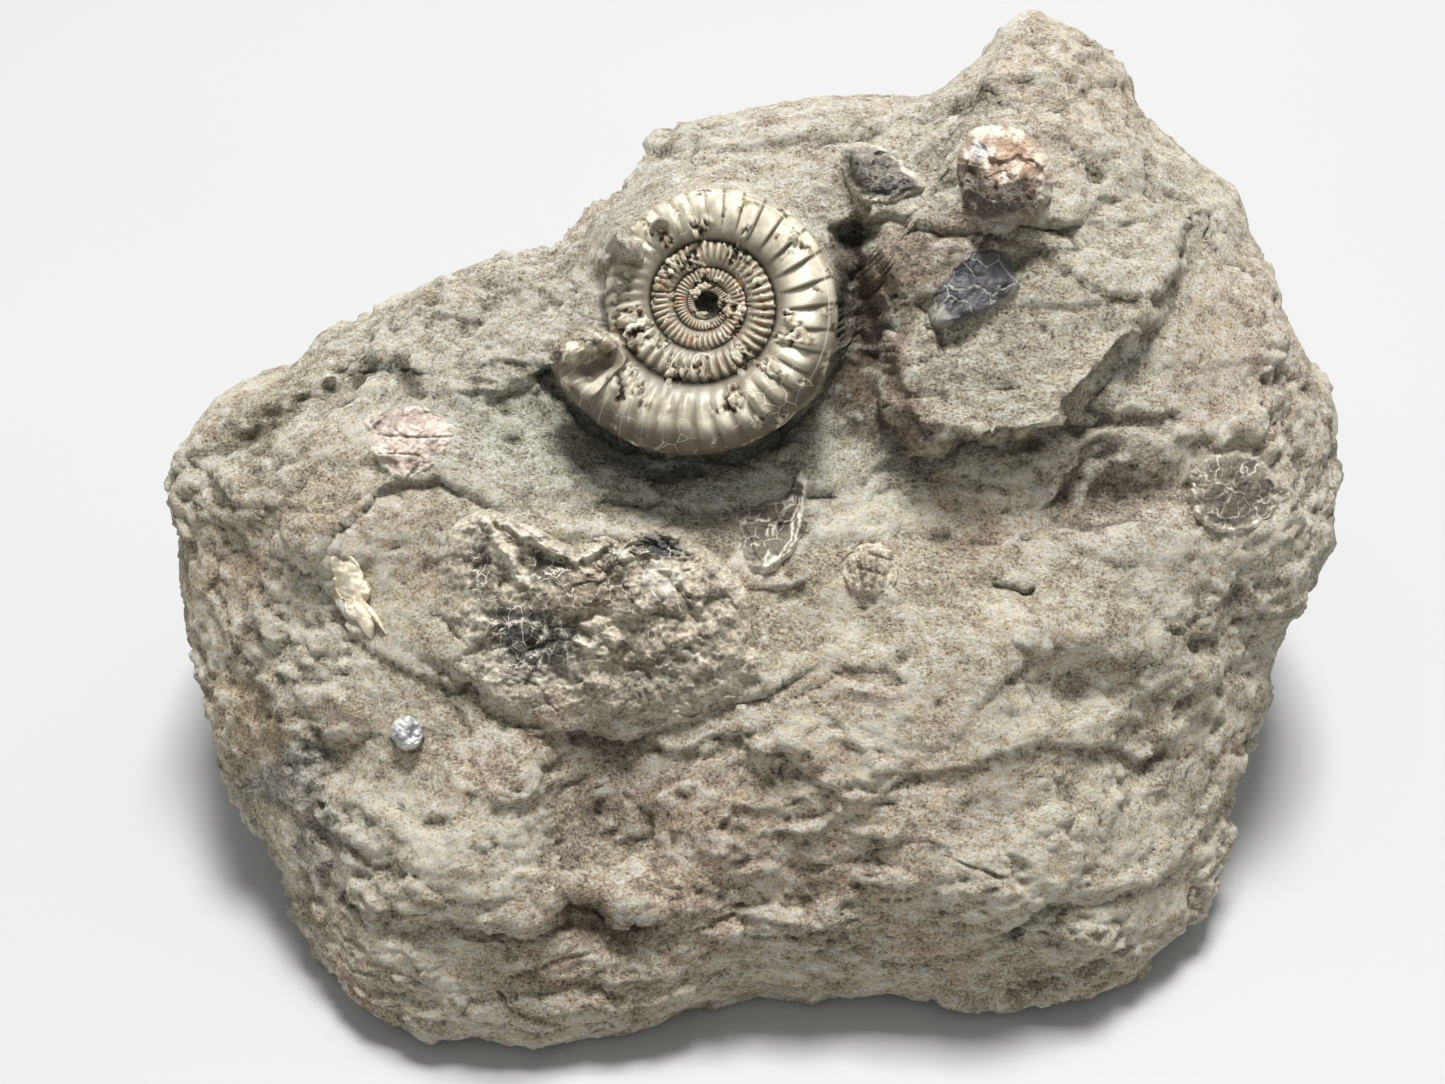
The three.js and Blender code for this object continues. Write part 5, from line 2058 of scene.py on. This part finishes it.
SET_PIECES = (
    SetPiece(
        "large_shell_fragment", "dark_shell",
        ((-29.6, 1.4), (-28.2, 2.2), (-26.4, 2.8), (-24.6, 2.0), (-22.6, 1.0), (-20.6, 0.2), (-18.8, -0.8),
         (-17.2, -1.5), (-16.0, -0.7), (-14.2, -0.3), (-12.6, -1.4), (-11.3, 0.4), (-9.0, 0.9), (-5.9, -0.2),
         (-4.0, -2.6), (-2.4, -3.4), (-0.8, -5.4), (0.4, -9), (0.6, -13), (-1.6, -16.4),
         (-6, -18.2), (-11, -19.0), (-16, -18.2), (-21, -17.2), (-26.6, -16.2), (-28.8, -12.4), (-30.2, -8),
         (-30.4, -3)),
        CrackedFinish(dark=(124, 115, 100), light=(208, 198, 176), cells=1.1, cracks=0.95, width=0.065, edge=0.0,
                      speckle=2.6, roughness=0.8, bump=0.4),
        rise=0.9, brim=0.3, depth=0.9, grain=0.48, squareness=9, kinship=1.0, rings=105,
        lines=(
            Crack(((-29.5, 0.8), (-28.4, 1.4), (-27.2, 1.3), (-26.5, 2.1), (-24.6, 1.3), (-22.6, 0.3),
                (-20.4, -0.6), (-17.5, -2.3), (-16.1, -1.5), (-14.2, -1.0), (-12.6, -2.2)), 0.5, -0.9),
            Crack(((-26.6, 0.8), (-25.2, -1.4), (-23.2, -4.2)), 0.4, -0.8),
            *cracks(0.2, 0.5, ((-11, 0.2), (-9.6, -1.2), (-8.9, -2.3)), ((-8.6, 0.6), (-7.6, -0.9), (-6.8, -2.2))),
            Crack(((-10.4, -1.7), (-7.6, -2.1)), 0.2, 0.4),
            Crack(((-7.2, -11.8), (-5.4, -12.5), (-4, -13)), 0.28, -0.35),
            Crack(((-17.3, -10.6), (-16.4, -11.1), (-15.5, -10.9)), 0.3, -0.35),
            Crack(((-5, -13.5), (-3.4, -13.6)), 0.2, -0.2),
            *cracks(0.16, -0.08, ((-27.6, -8.4), (-24.5, -9.0), (-21.2, -8.7)), ((-27.4, -12.4), (-24, -11.6),
                (-20.6, -12.2)), ((-26.6, -14.8), (-22.8, -14.3), (-18.4, -14.9))),
            *cracks(0.14, -0.08, ((-25.4, -7.0), (-25.9, -11.4), (-25.2, -15.4)), ((-22.9, -7.8), (-22.3, -12),
                (-22.7, -15.2))),
            *cracks(0.16, -0.08, ((-20.6, -7.8), (-20.9, -12.6), (-19.7, -15.6)), ((-18.9, -9), (-18.4, -12),
                (-17.8, -15.0))),
            *cracks(0.14, -0.08, ((-28.8, 0.4), (-28.3, -3), (-28.9, -7.4), (-28.2, -12)), ((-27.3, 0.6),
                (-26.8, -3.4), (-27.5, -8))),
            Crack(((-24, -4.4), (-21.4, -4.0), (-18.6, -5.0)), 0.16, -0.1),
        ),
        relief=(
            Swell((-22.5, -6.7), (0.5, 0.5), 0, -0.9), Swell((-16.8, -6.6), (3.8, 1.4), 12, 1.0),
            Swell((-16.8, -8.3), (3.6, 0.7), 12, -0.9), Swell((-27.4, -2.4), (1.5, 3.6), 8, -0.7),
            Swell((-25.0, -1.2), (0.5, 2.8), 36, 0.6), Swell((-23.0, -11.8), (4.2, 3.4), 0, -0.5),
            Swell((-8.6, -1.4), (2.6, 1.0), -8, -0.7), Swell((-13.2, -3.2), (1.2, 1.0), 0, 0.6),
            Swell((-3, -8), (2.4, 1.4), -30, 0.5), Swell((-20, -2.6), (2, 0.6), -20, -0.6),
        ),
        dabs=(
            Dab((100, 92, 82), (-27.6, -2.4), (2.0, 4.4), 8, 0.9),
            Dab((84, 79, 72), (-23.0, -11.6), (6.2, 5.0), 0, 1.0),
            Dab((124, 108, 88), (-16.8, -6.4), (4.4, 2.0), 12, 0.7),
            Dab((82, 82, 80), (-8.8, -1.1), (2.9, 1.3), -8, 1.0),
            Dab((224, 219, 204), (-8.8, -4.4), (2.6, 1.2), 4, 0.8),
            Dab((134, 126, 112), (-7, -14.4), (7.4, 3.4), 4, 0.8),
            Dab((84, 80, 72), (-21.0, -2.8), (3.2, 1.2), -18, 0.8),
            Dab((216, 208, 188), (-25.0, -1.2), (0.8, 3.2), 36, 0.9),
            Dab((228, 222, 206), (-5.6, -12.5), (2.0, 0.3), -16, 1.0),
            Dab((228, 222, 206), (-16.4, -10.9), (1.2, 0.4), 0, 1.0),
            Dab((120, 112, 96), (-13, -3.0), (1.4, 1.2), 0, 0.8), Dab((206, 198, 176), (-12.5, -8.8), (5, 1.2), 4, 0.6),
            Dab((190, 182, 164), (-17, -14.5), (4, 3), 0, 0.4), Dab((112, 100, 82), (-3, -4.6), (2, 1.4), -40, 0.6),
        ),
    ),
    SetPiece(
        "upright_shell_fragment", "dark_shell",
        ((-1.8, 2.1), (0.6, 2.7), (2.7, 3.4), (4.2, 4.8), (5.3, 6.9), (5.8, 4.2), (5.6, 1.4), (4.9, -0.6), (3.6, -2.4),
         (1.8, -3.9), (0.2, -3.6), (-0.6, -2.2), (-0.9, -0.2)),
        CrackedFinish(dark=(78, 70, 60), light=(106, 97, 83), cells=0.8, cracks=0.5, width=0.045, edge=0.4,
                      speckle=1.4),
        rise=0.6, brim=0.4, depth=0.8, grain=0.2, kinship=0.3, rings=60,
        relief=(Swell((2.4, 0.4), (1.6, 3.0), -30, -0.7),),
        lines=(
            Crack(((1.2, -3.7), (3.3, -2.3), (4.7, -0.6), (5.3, 1.4), (5.5, 4.2), (5.1, 6.4)), 0.4, -0.5),
            *cracks(0.13, -0.08, ((1.5, -3.2), (2.2, 0.5), (4.6, 5.6)), ((2.2, -2.8), (4.0, 0), (4.9, 3.4)),
                ((0.2, -1), (2.6, 1.2), (4.4, 3.8))),
            Crack(((-1.0, 1.5), (1.8, 1.3), (3.2, 2.6)), 0.16, -0.08),
        ),
    ),
    SetPiece(
        "round_shell", "dark_shell",
        tuple((48.3 + 4.5 * math.cos(i * TURN / 16), 4.2 + 4.2 * math.sin(i * TURN / 16)) for i in range(16)),
        CrackedFinish(dark=(94, 87, 77), light=(122, 114, 100), cells=0.7, cracks=0.35, width=0.04, edge=0.8,
                      speckle=1.3),
        rise=1.2, brim=0.2, depth=0.6, grain=0.16, squareness=2.4, kinship=0.3, rings=70,
        lines=(
            Crack(((44.3, 5.6), (44.1, 3.2), (45.2, 1.2), (47.0, 0.2), (49.2, 0.1), (51.2, 1.0)), 0.45, -0.35),
            *cracks(0.08, -0.04, ((48.3, 4.2), (49.2, 6.4), (50.0, 8.0)), ((48.3, 4.2), (50.6, 3.5), (52.4, 3.8)),
                ((48.3, 4.2), (46.6, 2.4), (45.0, 1.5)), ((48.3, 4.2), (46.4, 5.5), (44.8, 6.2))),
            *cracks(0.07, -0.04, ((49.2, 6.4), (51.4, 7.0)), ((46.6, 2.4), (47.6, 0.6)), ((50.6, 3.5), (51.0, 1.4)),
                ((46.4, 5.5), (47.2, 7.8))),
        ),
    ),
    SetPiece(
        "crystalline_lump", "pink_calcite",
        ((21.3, 38.9), (22.4, 40.4), (25.2, 40.6), (28.2, 39.6), (29.9, 37.2), (30.0, 34.2), (28.6, 31.9), (25, 31.2),
         (22.4, 32.0), (21.4, 35.0)),
        CrackedFinish(dark=(170, 148, 126), light=(238, 226, 208), cells=0.9, cracks=0.2, edge=0.0, speckle=2.2,
                      roughness=0.7, bump=0.4),
        rise=4.4, depth=1.0, grain=0.45, squareness=3.4, kinship=0.2, rings=60,
        relief=(Swell((22.2, 36.2), (0.8, 2.4), 0, -1.6), Swell((28.6, 37.8), (1.6, 1.6), 0, -0.6)),
        # The first dark dab paints shade on the lump's underside, and the third paints shade in the hollow on its left
        # side.
        dabs=(Dab((84, 75, 66), (25.2, 33.4), (5.0, 2.3), 0, 0.95),
              Dab((208, 206, 202), (22.6, 38.4), (1.2, 1.0), 0, 1.0),
              Dab((92, 84, 74), (22.3, 34.8), (1.3, 2.4), 0, 0.95),
              Dab((186, 146, 118), (26.8, 38.0), (2.2, 1.4), 0, 0.35),
              Dab((158, 118, 94), (28.2, 35.6), (0.9, 1.2), 0, 0.35)),
    ),
    SetPiece(
        "slate_grey_flake", "slate_calcite",
        ((21.4, 27.9), (23.6, 28.4), (25.7, 28.3), (26.4, 26.4), (27, 24.8), (25.8, 23.6), (24.3, 22.7), (22.2, 21.7),
         (20.1, 20.9), (17.4, 20.8), (17.9, 22.6), (18.8, 24.2), (20.2, 26.2)),
        CrackedFinish(dark=(58, 57, 60), light=(86, 84, 86), cells=0.5, cracks=0.4, width=0.03, edge=0.1,
                      speckle=0.8, roughness=0.4),
        rise=0.9, depth=0.7, grain=0.16, squareness=5, kinship=0.15, rings=70,
        dabs=(Dab((190, 184, 168), (25.8, 23.2), (1.8, 0.7), 34, 0.6),
              Dab((150, 146, 134), (18, 21.6), (1.4, 1.2), 0, 0.6)),
    ),
    SetPiece(
        "dark_facet_fragment", "slate_calcite",
        ((9.2, 38.9), (12.2, 39.0), (14.6, 37.6), (16.4, 36.2), (17.7, 34.6), (15.6, 33.6), (13, 33.1), (10.6, 33.8),
         (9.4, 35.6)),
        CrackedFinish(dark=(80, 76, 69), light=(124, 117, 106), cells=0.7, cracks=0.2, edge=0.0, speckle=2.2),
        rise=0.7, depth=0.8, grain=0.5, squareness=5, kinship=0.9, rings=44,
        dabs=(Dab((204, 198, 182), (15.2, 37.2), (3.0, 0.7), -44, 0.9),
              Dab((60, 56, 50), (11.5, 34.6), (2.4, 1.4), 0, 0.7)),
    ),
    SetPiece(
        "calcite_crystal", "white_crystal",
        ((-36, -19.4), (-35.6, -20.8), (-34.6, -21.7), (-33.2, -21.3), (-32.6, -19.8), (-33.2, -18.5), (-34.8, -18.2)),
        CrackedFinish(dark=(158, 160, 163), light=(224, 223, 217), cells=0.9, cracks=0.5, edge=0.1, speckle=1.6,
                      roughness=0.3),
        rise=1.2, depth=0.5, grain=0.5, squareness=2.4, rings=28,
    ),
    SetPiece(
        "cream_shell_sliver", "pale_shell",
        ((-42, -2.1), (-40.7, -1.6), (-39.2, -2.8), (-38.6, -4.6), (-38.4, -6.8), (-37.4, -8.8), (-36.2, -10.4),
         (-37.8, -10.6), (-39.3, -8.8), (-40.6, -6.6), (-41.7, -4.2)),
        CrackedFinish(dark=(208, 196, 166), light=(240, 231, 206), cells=0.5, cracks=0.0, edge=0.0, speckle=0.9,
                      roughness=0.7),
        rise=1.0, depth=0.4, grain=0.2, squareness=3, kinship=0.3, rings=32,
    ),
    SetPiece(
        "pale_shell_flake", "pale_shell",
        ((-38.8, 11.4), (-35.6, 12.8), (-31.6, 12.4), (-29.4, 10.8), (-30.2, 8.2), (-32.6, 6.0), (-35.4, 5.4),
         (-37.6, 7.6)),
        CrackedFinish(dark=(168, 153, 140), light=(214, 199, 187), cells=1.1, cracks=0.5, width=0.08,
                      stretch=(1.5, 0.5, 0.5), edge=0.0, speckle=1.8, roughness=0.8, bump=0.25),
        rise=0.5, depth=0.4, grain=0.3, squareness=3, kinship=1.0, rings=44,
    ),
    SetPiece(
        "small_ribbed_fossil", "pale_shell",
        ((9.1, -3.2), (10.4, -1.6), (12.4, -0.8), (14.4, -1.8), (15.0, -3.8), (14.2, -5.6), (12, -6.2), (9.8, -5.4)),
        CrackedFinish(dark=(158, 148, 129), light=(196, 187, 167), cells=0.8, cracks=0.0, edge=0.0, speckle=2.8,
                      roughness=0.9, bump=0.4),
        rise=0.35, depth=0.4, grain=0.3, squareness=2.5, kinship=1.0, rings=50,
        relief=(
            Swell((10.2, -3.4), (0.3, 1.7), 14, 1.0), Swell((11.3, -3.2), (0.3, 2.0), 6, 1.1),
            Swell((12.4, -3.2), (0.3, 2.0), -4, 1.0), Swell((13.5, -3.5), (0.3, 1.6), -12, 0.9),
        ),
    ),
)


def main() -> None:
    """Build the stage, then the specimen piece by piece, and log how many triangles each piece has."""
    logging.basicConfig(level=logging.INFO, format="%(name)s: %(message)s")
    Stage().build()
    block = MatrixBlock(rings=160)
    pieces = [block.build(), AmmoniteShell().build(), MouthFill().build()]
    pieces += [piece.build(block) for piece in SET_PIECES]
    for piece in pieces:
        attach(piece, "root")
        LOG.info("%s: %d triangles", piece.name, len(piece.data.polygons))


if __name__ == "__main__":
    main()
